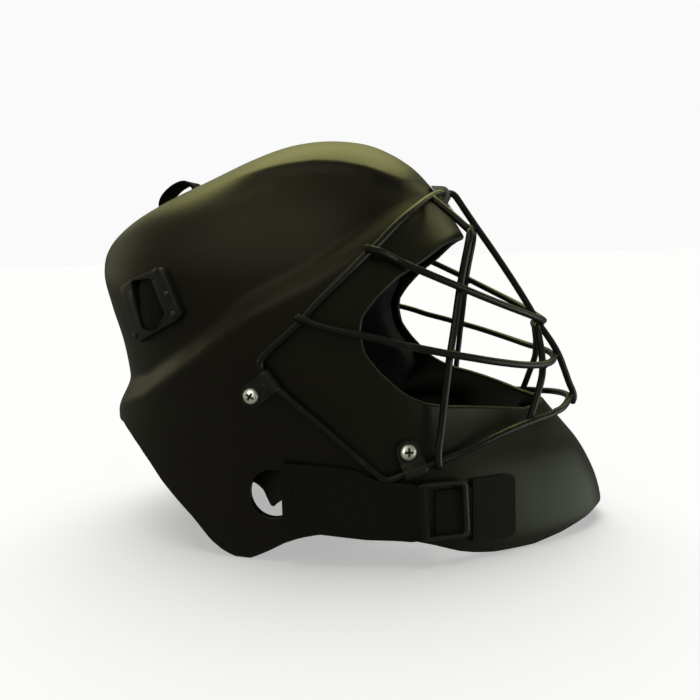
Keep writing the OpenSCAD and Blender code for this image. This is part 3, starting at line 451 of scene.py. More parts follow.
def done(obj, body, cad=None):
    """Puts a finished piece on its body, in place of its CAD node."""
    if cad:
        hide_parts(cad)
    if body:
        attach(obj, body)
    return obj


# ---------------------------------------------------------------- shader groups and materials
def new_group(name, inputs, outputs):
    """An empty shader group with its sockets, and its input and output nodes."""
    g = bpy.data.node_groups.new(name, "ShaderNodeTree")
    for n, kind, value in inputs:
        s = g.interface.new_socket(n, in_out="INPUT", socket_type=kind)
        if value is not None:
            s.default_value = value
    for n, kind in outputs:
        g.interface.new_socket(n, in_out="OUTPUT", socket_type=kind)
    return g, g.nodes.new("NodeGroupInput"), g.nodes.new("NodeGroupOutput")


def node(tree, kind, links=None, **values):
    """A node with its links and values. A value named in_Some_Socket goes to that socket, and
    any other is a setting of the node."""
    n = tree.nodes.new(kind)
    for k, v in values.items():
        if k.startswith("in_"):
            key = k[3:].replace("_", " ")
            n.inputs[int(key) if key.isdigit() else key].default_value = v
        else:
            setattr(n, k, v)
    for key, source in (links or {}).items():
        tree.links.new(source, n.inputs[key])
    return n


def math_node(tree, op, a, b=None, clamp=False):
    """The output of a Math node on two sockets or numbers."""
    n = tree.nodes.new("ShaderNodeMath")
    n.operation, n.use_clamp = op, clamp
    for i, v in enumerate((a, b)):
        if v is None:
            continue
        if isinstance(v, (int, float)):
            n.inputs[i].default_value = v
        else:
            tree.links.new(v, n.inputs[i])
    return n.outputs[0]


def ramp(tree, factor, stops):
    """The colour of a ramp over a factor, from (position, colour) stops."""
    n = tree.nodes.new("ShaderNodeValToRGB")
    tree.links.new(factor, n.inputs[0])
    e = n.color_ramp.elements
    while len(e) < len(stops):
        e.new(0.5)
    for k, (pos, colour) in enumerate(stops):
        e[k].position = pos
        e[k].color = (*colour, 1) if len(colour) == 3 else colour
    return n.outputs[0]


def group_moulded():
    """Moulded plastic skin: fine orange peel, faint flow streaks, hairline scuffs and dust."""
    if "moulded_skin" in bpy.data.node_groups:
        return bpy.data.node_groups["moulded_skin"]
    g, gi, go = new_group("moulded_skin", [
        ("Vector", "NodeSocketVector", None), ("Grain", "NodeSocketFloat", 900.0),
        ("Peel", "NodeSocketFloat", 0.12), ("Wear", "NodeSocketFloat", 0.3)],
        [("Roughness shift", "NodeSocketFloat"), ("Shade", "NodeSocketFloat"),
         ("Normal", "NodeSocketVector")])
    v = gi.outputs["Vector"]
    fine = node(g, "ShaderNodeTexNoise", {"Vector": v, "Scale": gi.outputs["Grain"]},
                in_Detail=3.0, in_Roughness=0.6)
    broad = node(g, "ShaderNodeTexNoise", {"Vector": v}, in_Scale=14.0, in_Detail=4.0,
                 in_Roughness=0.55, in_Distortion=0.4)
    stretch = node(g, "ShaderNodeMapping", {"Vector": v}, in_Scale=(40, 40, 900),
                   in_Rotation=(0.5, 0.9, 0.2))
    scuff = node(g, "ShaderNodeTexNoise", {"Vector": stretch.outputs[0]}, in_Scale=1.0,
                 in_Detail=2.0, in_Roughness=0.7)
    lines = ramp(g, scuff.outputs[0], [(0.62, (0, 0, 0)), (0.70, (1, 1, 1))])
    patch = ramp(g, broad.outputs[0], [(0.45, (0, 0, 0)), (0.75, (1, 1, 1))])
    worn = math_node(g, "MULTIPLY", math_node(g, "MULTIPLY", lines, patch), gi.outputs["Wear"])
    shift = math_node(g, "ADD", math_node(g, "MULTIPLY", broad.outputs[0], 0.10),
                      math_node(g, "MULTIPLY", worn, 0.22))
    g.links.new(math_node(g, "SUBTRACT", shift, 0.05), go.inputs["Roughness shift"])
    g.links.new(math_node(g, "ADD", math_node(g, "MULTIPLY", worn, 0.35),
                          math_node(g, "MULTIPLY", patch, 0.08)), go.inputs["Shade"])
    b1 = node(g, "ShaderNodeBump", {"Height": fine.outputs[0], "Strength": gi.outputs["Peel"]},
              in_Distance=0.0004)
    b2 = node(g, "ShaderNodeBump", {"Height": broad.outputs[0], "Normal": b1.outputs[0]},
              in_Strength=0.12, in_Distance=0.002)
    g.links.new(b2.outputs[0], go.inputs["Normal"])
    return g


def group_weave():
    """Woven cloth from its own millimetre coordinates: ribs along, picks across, loose fibres.
    Its shade output paints the weave's tops lighter and its hollows darker, as painted highlight
    and painted shade, and adds the fibres' specks.
    """
    if "woven_cloth" in bpy.data.node_groups:
        return bpy.data.node_groups["woven_cloth"]
    g, gi, go = new_group("woven_cloth", [
        ("Vector", "NodeSocketVector", None), ("Pitch along", "NodeSocketFloat", 1.1),
        ("Pitch across", "NodeSocketFloat", 0.9), ("Slant", "NodeSocketFloat", 0.0),
        ("Zigzag", "NodeSocketFloat", 0.0)],
        [("Height", "NodeSocketFloat"), ("Shade", "NodeSocketFloat")])
    sep = node(g, "ShaderNodeSeparateXYZ", {"Vector": gi.outputs["Vector"]})
    u, v = sep.outputs[0], sep.outputs[1]
    wobble = node(g, "ShaderNodeTexNoise", {"Vector": gi.outputs["Vector"]}, in_Scale=0.35,
                  in_Detail=2.0)
    drift = math_node(g, "MULTIPLY", math_node(g, "SUBTRACT", wobble.outputs[0], 0.5), 1.2)
    # herringbone: the slant changes sign with each stripe across the cloth
    stripe = math_node(g, "PINGPONG", v, gi.outputs["Zigzag"])
    lean = math_node(g, "ADD", math_node(g, "MULTIPLY", stripe, gi.outputs["Slant"]), drift)
    pu = math_node(g, "MULTIPLY", math_node(g, "DIVIDE", math_node(g, "ADD", u, lean),
                                            gi.outputs["Pitch along"]), 2 * math.pi)
    pv = math_node(g, "MULTIPLY", math_node(g, "DIVIDE", v, gi.outputs["Pitch across"]),
                   2 * math.pi)
    su, sv = math_node(g, "SINE", pu), math_node(g, "SINE", pv)
    over_under = math_node(g, "MULTIPLY", su, sv)
    base = math_node(g, "ADD", math_node(g, "MULTIPLY", su, 0.35),
                     math_node(g, "MULTIPLY", over_under, 0.5))
    fuzz = node(g, "ShaderNodeTexNoise", {"Vector": gi.outputs["Vector"]}, in_Scale=3.2,
                in_Detail=5.0, in_Roughness=0.8)
    height = math_node(g, "ADD", base, math_node(g, "MULTIPLY", fuzz.outputs[0], 0.9))
    g.links.new(height, go.inputs["Height"])
    speck = ramp(g, fuzz.outputs[0], [(0.50, (0, 0, 0)), (0.74, (1, 1, 1))])
    # painted highlight on the weave's raised tops and painted shade in its hollows; the specks are
    # fibres
    painted_tops_and_hollows = math_node(g, "MULTIPLY", math_node(g, "ADD", over_under, 1.0), 0.28)
    shade = math_node(g, "ADD", painted_tops_and_hollows, math_node(g, "MULTIPLY", speck, 0.6))
    g.links.new(shade, go.inputs["Shade"])
    return g


def material(name):
    """A new material, its node tree and its shader."""
    m = bpy.data.materials.new(name)
    m.use_nodes = True
    t = m.node_tree
    return m, t, t.nodes["Principled BSDF"]


def noise(t, scale, **values):
    """A noise texture on the piece's own coordinates."""
    tex = node(t, "ShaderNodeTexCoord")
    return node(t, "ShaderNodeTexNoise", {"Vector": tex.outputs["Object"]}, in_Scale=scale,
                **values).outputs[0]


def bump(t, shader, height, strength, distance):
    """Bends the shader's normal over a height."""
    n = node(t, "ShaderNodeBump", {"Height": height}, in_Strength=strength, in_Distance=distance)
    t.links.new(n.outputs[0], shader.inputs["Normal"])


def moulded(name, dark, light, roughness, grain=900.0, peel=0.12, wear=0.3, specular=0.5,
            tint=(1, 1, 1)):
    """Moulded plastic: the skin group between two colours, over a base roughness."""
    m, t, b = material(name)
    tex = node(t, "ShaderNodeTexCoord")
    g = node(t, "ShaderNodeGroup", node_tree=group_moulded())
    t.links.new(tex.outputs["Object"], g.inputs["Vector"])
    for key, value in (("Grain", grain), ("Peel", peel), ("Wear", wear)):
        g.inputs[key].default_value = value
    colour = ramp(t, g.outputs["Shade"], [(0.0, dark), (1.0, light)])
    t.links.new(colour, b.inputs["Base Color"])
    rough = math_node(t, "ADD", g.outputs["Roughness shift"], roughness, True)
    t.links.new(rough, b.inputs["Roughness"])
    t.links.new(g.outputs["Normal"], b.inputs["Normal"])
    b.inputs["Specular IOR Level"].default_value = specular
    b.inputs["Specular Tint"].default_value = (*tint, 1)
    return m


def coated_wire(name, dark, light):
    """Powder-coated wire: dark skin with a fine ripple and small bright rubs."""
    m, t, b = material(name)
    ripple = noise(t, 420.0, in_Detail=3.0)
    rub = noise(t, 60.0, in_Detail=5.0, in_Roughness=0.7)
    mask = ramp(t, rub, [(0.60, (0, 0, 0)), (0.72, (1, 1, 1))])
    mix = node(t, "ShaderNodeMix", {0: mask}, data_type="RGBA")
    mix.inputs[6].default_value, mix.inputs[7].default_value = (*dark, 1), (*light, 1)
    t.links.new(mix.outputs[2], b.inputs["Base Color"])
    rough = math_node(t, "ADD", math_node(t, "MULTIPLY", ripple, 0.16), 0.26)
    t.links.new(rough, b.inputs["Roughness"])
    bump(t, b, ripple, 0.18, 0.0006)
    return m


def zinc(name, dark, light, roughness=0.36, metal=0.75):
    """Plated steel: cloudy stains between two colours and a fine grain in its gloss."""
    m, t, b = material(name)
    grain = noise(t, 1400.0, in_Detail=4.0)
    stain = noise(t, 260.0, in_Detail=3.0)
    t.links.new(ramp(t, stain, [(0.3, dark), (0.55, light)]), b.inputs["Base Color"])
    rough = math_node(t, "ADD", math_node(t, "MULTIPLY", grain, 0.2), roughness - 0.1)
    t.links.new(rough, b.inputs["Roughness"])
    b.inputs["Metallic"].default_value = metal
    bump(t, b, grain, 0.1, 0.0003)
    return m


def cloth(name, dark, light, along, across, slant=0.0, zigzag=0.0):
    """Woven cloth: the weave group on the piece's own millimetres, dull, with a faint sheen."""
    m, t, b = material(name)
    uv = node(t, "ShaderNodeUVMap", uv_map="cloth")
    g = node(t, "ShaderNodeGroup", node_tree=group_weave())
    t.links.new(uv.outputs[0], g.inputs["Vector"])
    for key, value in (("Pitch along", along), ("Pitch across", across), ("Slant", slant),
                       ("Zigzag", zigzag)):
        g.inputs[key].default_value = value
    # from the hollows' painted shade to the tops' painted highlight and the fibres
    colour = ramp(t, g.outputs["Shade"], [(0.12, dark), (0.95, light)])
    t.links.new(colour, b.inputs["Base Color"])
    for key, value in (("Roughness", 0.9), ("Specular IOR Level", 0.15), ("Sheen Weight", 0.12),
                       ("Sheen Roughness", 0.45), ("Sheen Tint", (0.7, 0.68, 0.6, 1))):
        b.inputs[key].default_value = value
    bump(t, b, g.outputs["Height"], 0.8, 0.0006)
    return m


def foam(name, dark, light):
    """Closed-cell foam: tiny cells, dull, slightly blue-black."""
    m, t, b = material(name)
    tex = node(t, "ShaderNodeTexCoord")
    cells = node(t, "ShaderNodeTexVoronoi", {"Vector": tex.outputs["Object"]}, in_Scale=900.0)
    cloud = noise(t, 40.0, in_Detail=4.0)
    t.links.new(ramp(t, cloud, [(0.3, dark), (0.75, light)]), b.inputs["Base Color"])
    b.inputs["Roughness"].default_value = 0.82
    b.inputs["Specular IOR Level"].default_value = 0.25
    bump(t, b, cells.outputs["Distance"], 0.35, 0.0005)
    return m


# finish: its maker, the material's name and the maker's values after the two colours
FINISHES = {
    "shell": (moulded, "shell_plastic", dict(roughness=0.40, grain=1100, peel=0.10, wear=0.25,
                                             tint=(1.0, 0.97, 0.8))),
    "clip": (moulded, "clip_plastic", dict(roughness=0.45, grain=700, peel=0.2)),
    "brow_clip": (moulded, "brow_clip_plastic", dict(roughness=0.5, grain=500, peel=0.5,
                                                     wear=0.8)),
    "plate": (moulded, "plate_plastic", dict(roughness=0.42, grain=800, peel=0.2)),
    "ring": (moulded, "ring_plastic", dict(roughness=0.42, grain=800, peel=0.2)),
    "inner": (moulded, "inner_plastic", dict(roughness=0.6)),
    "thread": (moulded, "thread", dict(roughness=0.6, grain=2500, peel=0.4)),
    "wire": (coated_wire, "coated_wire", {}),
    "zinc": (zinc, "zinc_steel", {}),
    "dark_rivet": (zinc, "dark_rivet", dict(roughness=0.4)),
    "elastic": (cloth, "elastic", dict(along=1.5, across=1.15)),
    "web": (cloth, "web", dict(along=1.8, across=1.3)),
    "anchor": (cloth, "anchor_weave", dict(along=2.0, across=1.0, slant=1.0, zigzag=2.4)),
    "foam": (foam, "foam", {}),
}
MADE = {}


def paint(key):
    """The material of a finish, made at its first use from the settings' two colours."""
    if key not in MADE:
        make, name, values = FINISHES[key]
        tones = bpy.context.scene.helmet_colours
        MADE[key] = make(name, tuple(getattr(tones, key + "_dark")),
                         tuple(getattr(tones, key + "_light")), **values)
    return MADE[key]


# ---------------------------------------------------------------- the shell
def opening_lines(roll):
    """The face opening's lower and upper edge and the cut, each moved along its own normal by
    half the wall, so that a rolled edge ends on the drawn line."""
    def inset(line, sign):
        t = unit(np.gradient(line, axis=0))
        return line + sign * roll * np.stack([-t[:, 1], t[:, 0]], -1)
    lip, brow, cut = inset(LIP, -1), inset(BROW, 1), inset(CUT, 1)
    lip[0] = brow[0] = (OPEN_BACK - roll, OPEN_END)
    return lip, brow, cut


def shell_faces(grids, is_face):
    """Faces of the double skin: two bands outside, the same two inside, a fan to the crown on
    each, and strips that join the skins along the cut and round the face opening. Behind the
    opening the upper band's first row is the lower band's last."""
    rows, count = [g.shape[0] for g in grids], grids[0].shape[1]
    start = np.cumsum([0] + [r * count for r in rows])
    ids = [s + np.arange(r * count).reshape(r, count) for s, r in zip(start, rows)]
    for g in (1, 3):
        ids[g][0] = np.where(is_face, ids[g][0], ids[g - 1][-1])
    on = [np.roll(i, -1, 1) for i in ids]
    faces = []
    for o, i in ((0, 2), (1, 3)):
        faces += quads(ids[o][:-1], on[o][:-1], on[o][1:], ids[o][1:])
        faces += quads(ids[i][:-1], ids[i][1:], on[i][1:], on[i][:-1])
    faces += quads(ids[0][0], ids[2][0], on[2][0], on[0][0])
    k = is_face | np.roll(is_face, -1)
    faces += quads(ids[0][-1][k], on[0][-1][k], on[2][-1][k], ids[2][-1][k])
    faces += quads(ids[1][0][k], ids[3][0][k], on[3][0][k], on[1][0][k])
    crown = np.full(count, start[4])
    for fan in ((ids[1][-1], on[1][-1], crown), (on[3][-1], ids[3][-1], crown + 1)):
        faces += [tuple(f) for f in np.stack(fan, -1).tolist()]
    return faces


def shell_cutters():
    """The strap holes at the cheeks with a rounded rim, and the slots of the webs."""
    r = mm("strap_hole") / 2
    barrel = [(0.01, -16), (r, -16), (r, -0.9), (r + 0.35, -0.35), (r + 0.9, 0), (r + 0.9, 12),
              (0.01, 12)]
    sides = [lathe(barrel, seat((-27, 41.5), (-21, 41.5)), 64),
             prism(slot_outline(), (-14, 12), plate_frame())]
    return both_sides(sides) + [prism(box(2.7, 11), (-15, 15), roof_seat(x)) for x in TOP_SLOTS]


def shell_piece():
    """The moulding: the skin and the same skin moved in by the wall, on a fine grid of
    bearings and levels, with holes cut through and a round bead along each edge.

    Columns crowd towards the opening's rear corner. Levels run evenly from the cut to the
    opening's lower edge, and from its upper edge to the crown."""
    wall = mm("wall")
    roll = wall / 2
    lip, brow, cut = opening_lines(roll)
    nf, nb, nl, nh = 60, 92, 44, 100
    mid = float(level(OPEN_END))
    end = float(bearing_of(0, lip[0, 0], mid, 180.0))
    half = np.concatenate([end * (1 - (1 - np.arange(nf) / nf) ** 1.5),
                           end + (180 - end) * np.arange(nb + 1) / nb])
    face = np.arange(len(half)) < nf
    s0 = meet(half, cut, 0, float(level(90)))
    s1 = np.where(face, meet(half, lip, float(level(60)), mid), mid)
    s2 = np.where(face, meet(half, brow, mid, float(level(205))), mid)
    low = s0 + (s1 - s0) * np.linspace(0, 1, nl + 1)[:, None]
    high = s2 + (TOP - s2) * (np.arange(nh) / nh)[:, None]

    def around(s, out):
        """Rows of the right side, followed by their mirror image."""
        q = place(np.broadcast_to(half, s.shape), s, out)
        return np.concatenate([q, flip(q[:, -2:0:-1])], 1)
    grids = [around(s, out) for out in (0, -wall) for s in (low, high)]
    crown = at([[CROWN_X, 0, CROWN_Z + RIDGE_UP]])
    points = np.vstack([g.reshape(-1, 3) for g in grids] + [crown, crown - [0, 0, wall]])
    faces = shell_faces(grids, np.concatenate([face, face[-2:0:-1]]))
    used = np.unique(np.concatenate([np.ravel(f) for f in faces]))
    renumber = -np.ones(len(points), int)
    renumber[used] = np.arange(len(used))
    faces = [tuple(renumber[list(f)]) for f in faces]
    obj = mesh_piece("shell_moulding", [(points[used], faces)], paint("shell"), 32)
    boolean(obj, mesh_piece("cutters", shell_cutters(), paint("shell")))
    # rolled edges round the face opening and along the bottom
    corner = place(half[nf:nf + 1], np.array([mid]), -roll)
    opening = np.vstack([place(half[:nf], s2[:nf], -roll), corner,
                         place(half[:nf], s1[:nf], -roll)[::-1]])
    beads = [tube_rings(np.vstack([q, flip(q[-2:0:-1])]), wall, 12, loop=True)
             for q in (opening, place(half, s0, -roll))]
    join(obj, mesh_piece("edge", [(b, loft_faces(len(b), 12, loop=True)) for b in beads],
                         paint("shell"), 60))
    obj.data.shade_smooth()
    obj.data.set_sharp_from_angle(angle=math.radians(32))
    done(obj, "helmet", "shell")




def roof_seat(x):
    """A frame across the crown in the middle plane, behind its top."""
    s = bisect(np.array([8.0]), np.array([float(TOP)]), lambda m: skin(180.0, m)[..., 0] < x)
    return middle_seat(180.0, float(s[0]))


def rounded(outline, r, n=5):
    """A closed outline with round corners: an arc of radius r between the points where it
    touches both edges, for each corner."""
    p, out = np.array(outline, float), []
    for i in range(len(p)):
        a, b, c = p[i - 1], p[i], p[(i + 1) % len(p)]
        u, v = unit(a - b), unit(c - b)
        h = math.acos(float(u @ v)) / 2
        m = b + unit(u + v) * r / math.sin(h)
        s, e = b + u * r / math.tan(h) - m, b + v * r / math.tan(h) - m
        out += [m + r * unit(s * (n - k) + e * k) for k in range(n + 1)]
    return np.array(out)


def plate_frame():
    """The seat of the slot plate and its slot."""
    return seat((-108, 152), (-96, 152))


def flat_on(f, outline):
    """A side view outline on the skin, as x and y of a seat."""
    o = np.array(outline, float)
    d = side(o[:, 0], o[:, 1]) - f[0]
    return np.stack([d @ f[1], d @ f[2]], -1)


# x of the slots over the crown, side view outlines of the side slot and its plate, and the
# places of the plate's rivets
TOP_SLOTS = (-130, -104)
SLOT = [(-121, 168.5), (-104.5, 169.5), (-95, 147), (-104.5, 137.5), (-115, 137.5)]
PLATE = [(-96.4, 177.5), (-82.5, 147), (-89, 142.5), (-123.3, 127), (-134.5, 164.5)]
PLATE_RIVETS = [(-101.3, 173.6), (-93.2, 160), (-88.6, 148), (-122.4, 133.2)]


def slot_outline():
    """The slot's outline in its seat."""
    return rounded(flat_on(plate_frame(), SLOT), 2.5)


# ---------------------------------------------------------------- the face cage
# side view places of the rim wire on the right side, from the brow to the chin
RIM_SIDE = [(60.5, 213), (57, 209.2), (51.5, 203), (46, 197.2), (40.2, 191), (34.3, 184.6),
            (28.6, 179.2), (20.4, 171), (4, 155), (-6, 144), (-16, 135), (-23.6, 128.4),
            (-28.2, 123.8), (-30, 119.8), (-29, 115.4), (-24.6, 109.2), (-18.7, 104), (-3, 89.5),
            (12.7, 74.5), (26.7, 60.8), (34.3, 53.8), (37.3, 51.4), (40.5, 50.6), (44.2, 51.4),
            (49.5, 53.2), (55.5, 54.6), (61, 56.4), (69, 58.8), (80, 62)]


def cage_paths():
    """The wires' centre lines on the right side, each from or to the middle plane."""
    top = front(0, 216.5, RIM_OUT)
    rim = np.vstack([top, top - [0, 15.5, 0], front(-25, 215.2, RIM_OUT), over(RIM_SIDE, RIM_OUT),
                     at([[96, -76.5, 68], [111, -66, 73], [126, -51.5, 75.9], [131, -46.5, 76.6],
                         [136.5, -40.5, 77.3], [140.6, -35, 78.2], [145, -28, 79],
                         [149.5, -14, 80.5], [151.5, 0, 81]])])
    upper = np.vstack([
        over([(28.4, 182), (31, 181.2)], RIM_OUT + 3.9),
        over([(36.6, 179.6)], RIM_OUT + 3),
        at([[48, -82.5, 176.4], [59.5, -79.5, 170.8], [71.5, -74, 165], [83.5, -66.5, 159.2],
            [94, -58.5, 154], [103.6, -50, 149.3], [113.5, -40, 144.5], [122, -29, 140.3],
            [130.5, -14, 135.7], [135, 0, 133]])])
    lower = np.vstack([
        over([(-7.4, 146), (-4.2, 144.9)], RIM_OUT + 3.9), over([(0.3, 142.8)], RIM_OUT + 3.6),
        at([[10, -107.8, 140.6], [22.5, -106, 137.2], [35.8, -102.5, 133.9], [49, -99, 129.8],
            [62.5, -95, 126.5], [76, -90, 123], [88.4, -84, 120], [98.5, -78, 117.3],
            [108, -70.5, 114.8], [117.7, -61.5, 112.3], [126, -51, 110.4], [132, -42, 109.6],
            [136.5, -33, 109.3], [139.6, -20, 109.2], [141, -8, 109.2], [141.3, 0, 109.2]])])
    centre = at([[70.8, 0, 219.9], [74.6, 0, 219.6], [77.3, 0, 217.5], [79.9, 0, 213.7],
                 [82.5, 0, 209.6], [90.3, 0, 197.6], [102, 0, 180.2], [114.8, 0, 160.2],
                 [124.5, 0, 144], [131.3, 0, 131.6], [136.5, 0, 124], [141, 0, 117],
                 [145.2, 0, 109], [148.6, 0, 99.8], [151.9, 0, 90.4], [154.3, 0, 84.6],
                 [155, 0, 80.5], [154, 0, 77]])
    hoop = at([[86.9, 0, 196], [86.9, -20, 195.8], [87, -38, 195.2], [87.6, -50, 194.6],
               [88, -56.5, 193], [87.8, -60, 189.8], [86.9, -62, 184.5], [84.5, -62.8, 173],
               [82.2, -63.6, 160.6], [80.7, -68, 150], [79.2, -75, 138], [77.8, -81.5, 128],
               [76.6, -85.6, 120], [75.3, -87.3, 109], [73.6, -88, 96], [71.8, -89, 80],
               [70, -93.2, 66], [70.3, -94.6, 57.4]])
    mouth = at([[128.6, 0, 130.4], [128.8, -9, 130.6], [129.3, -15, 130.2], [130.2, -19, 127.4],
                [131, -22.5, 122], [131.8, -27.5, 115.8], [132, -33, 109.6], [131.8, -37, 104],
                [130.6, -41, 98.3], [128.2, -44.5, 90.6], [125.8, -47.2, 83],
                [123.6, -49, 76.5], [122.6, -49.6, 72.5]])
    strut = at([[64.3, -36.6, 214.7], [71.8, -43, 208.1], [79.4, -49.4, 201.2], [87, -55.7, 193.9]])
    return dict(rim=rim, upper=upper, lower=lower, centre=centre, hoop=hoop, mouth=mouth,
                strut=strut)


def bow_path(p, n):
    """A path across the middle plane from one that ends or starts on it."""
    p = p if abs(p[0][1]) < 1e-6 else p[::-1]
    c = curve(p, n, 1)
    return np.vstack([flip(c[:0:-1]), c])


def cage_pieces():
    """The cage's wires as round tubes along their paths, with the welds on the rim's piece."""
    paths, wire = cage_paths(), paint("wire")
    rim = curve(paths["rim"], 4, 2)
    rim = np.vstack([rim, flip(rim[-2:0:-1])])
    made = [("rim_wire", rim, True, "cage_rim", (1, 0, 0)),
            ("upper_cross_wire", bow_path(paths["upper"], 4), False, "upper_bar", (0, 0, 1)),
            ("lower_cross_wire", bow_path(paths["lower"], 4), False, "lower_bar", (0, 0, 1)),
            ("middle_wire", curve(paths["centre"], 4), False, "centre_wire", (0, 1, 0)),
            ("brow_hoop_wire", bow_path(paths["hoop"], 4), False, "brow_hoop", (1, 0, 0)),
            ("mouth_hoop_wire", bow_path(paths["mouth"], 4), False, "mouth_hoop", (1, 0, 0)),
            ("strut_right", curve(paths["strut"], 4), False, "brow_strut_right", (0, 0, 1)),
            ("strut_left", flip(curve(paths["strut"], 4)), False, "brow_strut_left", (0, 0, 1))]
    for name, path, loop, cad, start in made:
        rings = tube_rings(path, mm("wire"), 18, start, loop)
        parts = [(rings, loft_faces(len(rings), 18, loop=loop))]
        if loop:
            parts += weld_beads([m[1] for m in made])
        done(mesh_piece(name, parts, wire, 60), "helmet", cad)


def weld_beads(lines):
    """Small lumps of weld where two paths come within a wire's thickness of each other, at
    their nearest points; the neighbourhood of each is then left out of the search."""
    beads, spots, reach = [], [], mm("wire") + 0.5
    for i, a in enumerate(lines):
        for b in lines[i + 1:]:
            d = np.linalg.norm(a[:, None] - b[None], axis=2)
            for _ in range(6):
                ia, ib = np.unravel_index(np.argmin(d), d.shape)
                if d[ia, ib] > reach:
                    break
                mid = (a[ia] + b[ib]) / 2
                if all(np.linalg.norm(mid - q) > 5 for q in spots):
                    spots.append(mid)
                    ta, tb = unit(tangents(a)[ia]), unit(tangents(b)[ib])
                    beads.append(bead(mid, ta, tb, len(spots)))
                near_a = np.linalg.norm(a - a[ia], axis=1) < 14
                near_b = np.linalg.norm(b - b[ib], axis=1) < 14
                d[near_a[:, None] & near_b[None]] = 1e9
    return beads


def bead(mid, ta, tb, seed):
    """A lumpy oval, longer along the wires: an ellipsoid by two angles, its radius times one
    plus two small waves."""
    rng = np.random.default_rng(seed)
    x = unit(ta + tb * np.sign(ta @ tb + 1e-9))
    z = unit(np.cross(x, ta if abs(x @ tb) > 0.99 else tb) + 1e-6)
    y = np.cross(z, x)
    n, m = 9, 14
    th, ph = np.linspace(0.05, math.pi - 0.05, n), 2 * np.pi * np.arange(m) / m
    T, P = np.meshgrid(th, ph, indexing="ij")
    lump = 1 + 0.10 * np.sin(3 * P + rng.uniform(0, 6)) * np.sin(2 * T) \
        + 0.06 * np.cos(5 * T + rng.uniform(0, 6))
    q = lump[..., None] * np.stack([3.3 * np.cos(T), 2.45 * np.sin(T) * np.cos(P),
                                    2.35 * np.sin(T) * np.sin(P)], -1)
    return from_seat(np.array([mid, x, y, z]), q), loft_faces(n, m)


# ---------------------------------------------------------------- clips, screws and plates
# side view places of each clip's screw and of its grip on the rim wire
CLIPS = {"upper": ((-36.6, 100.9), (-24.8, 109.4)), "lower": ((51.9, 65.4), (55.5, 54.6))}


def clip_seat(screw, grip):
    """A clip's seat at its screw, and the wire's distance from there and height over it."""
    f = seat(screw, grip)
    w = side(grip[0], grip[1], RIM_OUT) - f[0]
    return f, float(w @ f[1]), float(w @ f[3])


def clip_outline(reach, height, t, r, half):
    """A clip's side outline: the lower leaf from its end to the wire, an arc of radius r + t
    round the wire, a smooth bend down, and the upper leaf back to its end."""
    a = np.radians(np.linspace(-90, 118, 22))
    arc = np.stack([reach + (r + t) * np.cos(a), height + (r + t) * np.sin(a)], -1)
    base = height - r - t
    top = base + 2 * t
    x, z = arc[-1]
    bend = curve([(x, z), (x - 1.6, z - 1.8), (x - 3.4, top + 0.35), (x - 5.4, top)], 4)
    return np.vstack([[(-half, base + 0.1), (-half * 0.5, base), (reach, base)], arc[1:],
                      bend[1:], [(0.0, top), (-half * 0.6, top), (-half, top - 0.1)]])


def clip_piece(name, screw, grip, mirror):
    """One folded clip: its side outline carried across. Its end is cut to a half circle in
    plan, and the outermost rows shrink a little, for soft edges."""
    f, reach, height = clip_seat(screw, grip)
    half = mm("clip_width") / 2
    line = clip_outline(reach, height, mm("clip_sheet"), mm("wire") / 2 + GRIP_PLAY, half)
    ys = np.array([-1, -0.985, -0.9, -0.6, 0, 0.6, 0.9, 0.985, 1.0])
    q = np.repeat(line[None], len(ys), 0)
    end = -np.sqrt(np.maximum(0, 1 - ys ** 2))[:, None] * half
    q[..., 0] = np.where(q[..., 0] < 0, np.maximum(q[..., 0], end), q[..., 0])
    soft = 0.35 * np.maximum(0, (np.abs(ys) - 0.9) / 0.1)[:, None, None]
    q += unit(q.mean(1, keepdims=True) - q) * soft
    across = np.broadcast_to(ys[:, None] * half, q.shape[:2])
    rows = from_seat(f, np.stack([q[..., 0], across, q[..., 1]], -1))
    return mesh_piece(name, [(rows, loft_faces(len(ys), len(line)))], paint("clip"), 35,
                      mirror=mirror)


def clip_pieces():
    """The four folded clips."""
    for key, (screw, grip) in CLIPS.items():
        for hand, mirror in HANDS:
            done(clip_piece(f"{key}_fold_{hand}", screw, grip, mirror), "helmet",
                 f"{key}_clip_{hand}")


def screw_piece(name, screw, grip, mirror, turn):
    """A turned pan head, cut by two tapered arms, with dark inserts at the recess's bottom as
    painted shade, and a dark ring let into the clip round the head as painted shade of the clip's
    hole."""
    f, _, height = clip_seat(screw, grip)
    rise = height - mm("wire") / 2 - GRIP_PLAY + mm("clip_sheet")
    c, s = math.cos(turn), math.sin(turn)
    g = np.array([f[0] + f[3] * rise, f[1] * c + f[2] * s, f[2] * c - f[1] * s, f[3]])
    r = mm("screw_head") / 2
    pan = [(0.01, -6.0), (1.9, -6.0), (1.9, -0.05), (r - 0.15, -0.05), (r, 0.15), (r, 0.8),
           (r - 0.25, 1.35), (r - 0.9, 1.9), (r - 1.9, 2.3), (1.4, 2.5), (0.01, 2.55)]
    head = mesh_piece(name, [lathe(pan, g, 48)], paint("zinc"), 40)
    painted_shade_crosses = []
    for k, arm in enumerate((box(0.72, 2.8), box(2.8, 0.72))):
        cut = prism(arm, (0.7, 3.2), g, (0.75, 1.1))
        boolean(head, mesh_piece(f"arm{k}", [cut], paint("zinc")))
        # dark crosses low in the recess: painted shade in it
        painted_shade_crosses.append(prism(arm, (0.74 + 0.02 * k, 1.5 + 0.04 * k), g, (0.73, 0.73)))
    # a dark ring round the head, let into the clip: painted shade of the clip's hole edge
    painted_shade_ring = lathe([(r + 0.1, -0.3), (r + 1.15, -0.3), (r + 1.25, 0.12), (r + 0.7, 0.4),
                    (r + 0.1, 0.42)], g, 48)
    ring = mesh_piece(name + "_ring", [painted_shade_ring] + painted_shade_crosses, paint("inner"), 40)
    if mirror:
        for o in (head, ring):
            o.data.transform(Matrix.Diagonal((1, -1, 1, 1)))
            o.data.flip_normals()
    head.data.set_sharp_from_angle(angle=math.radians(35))
    return head, ring


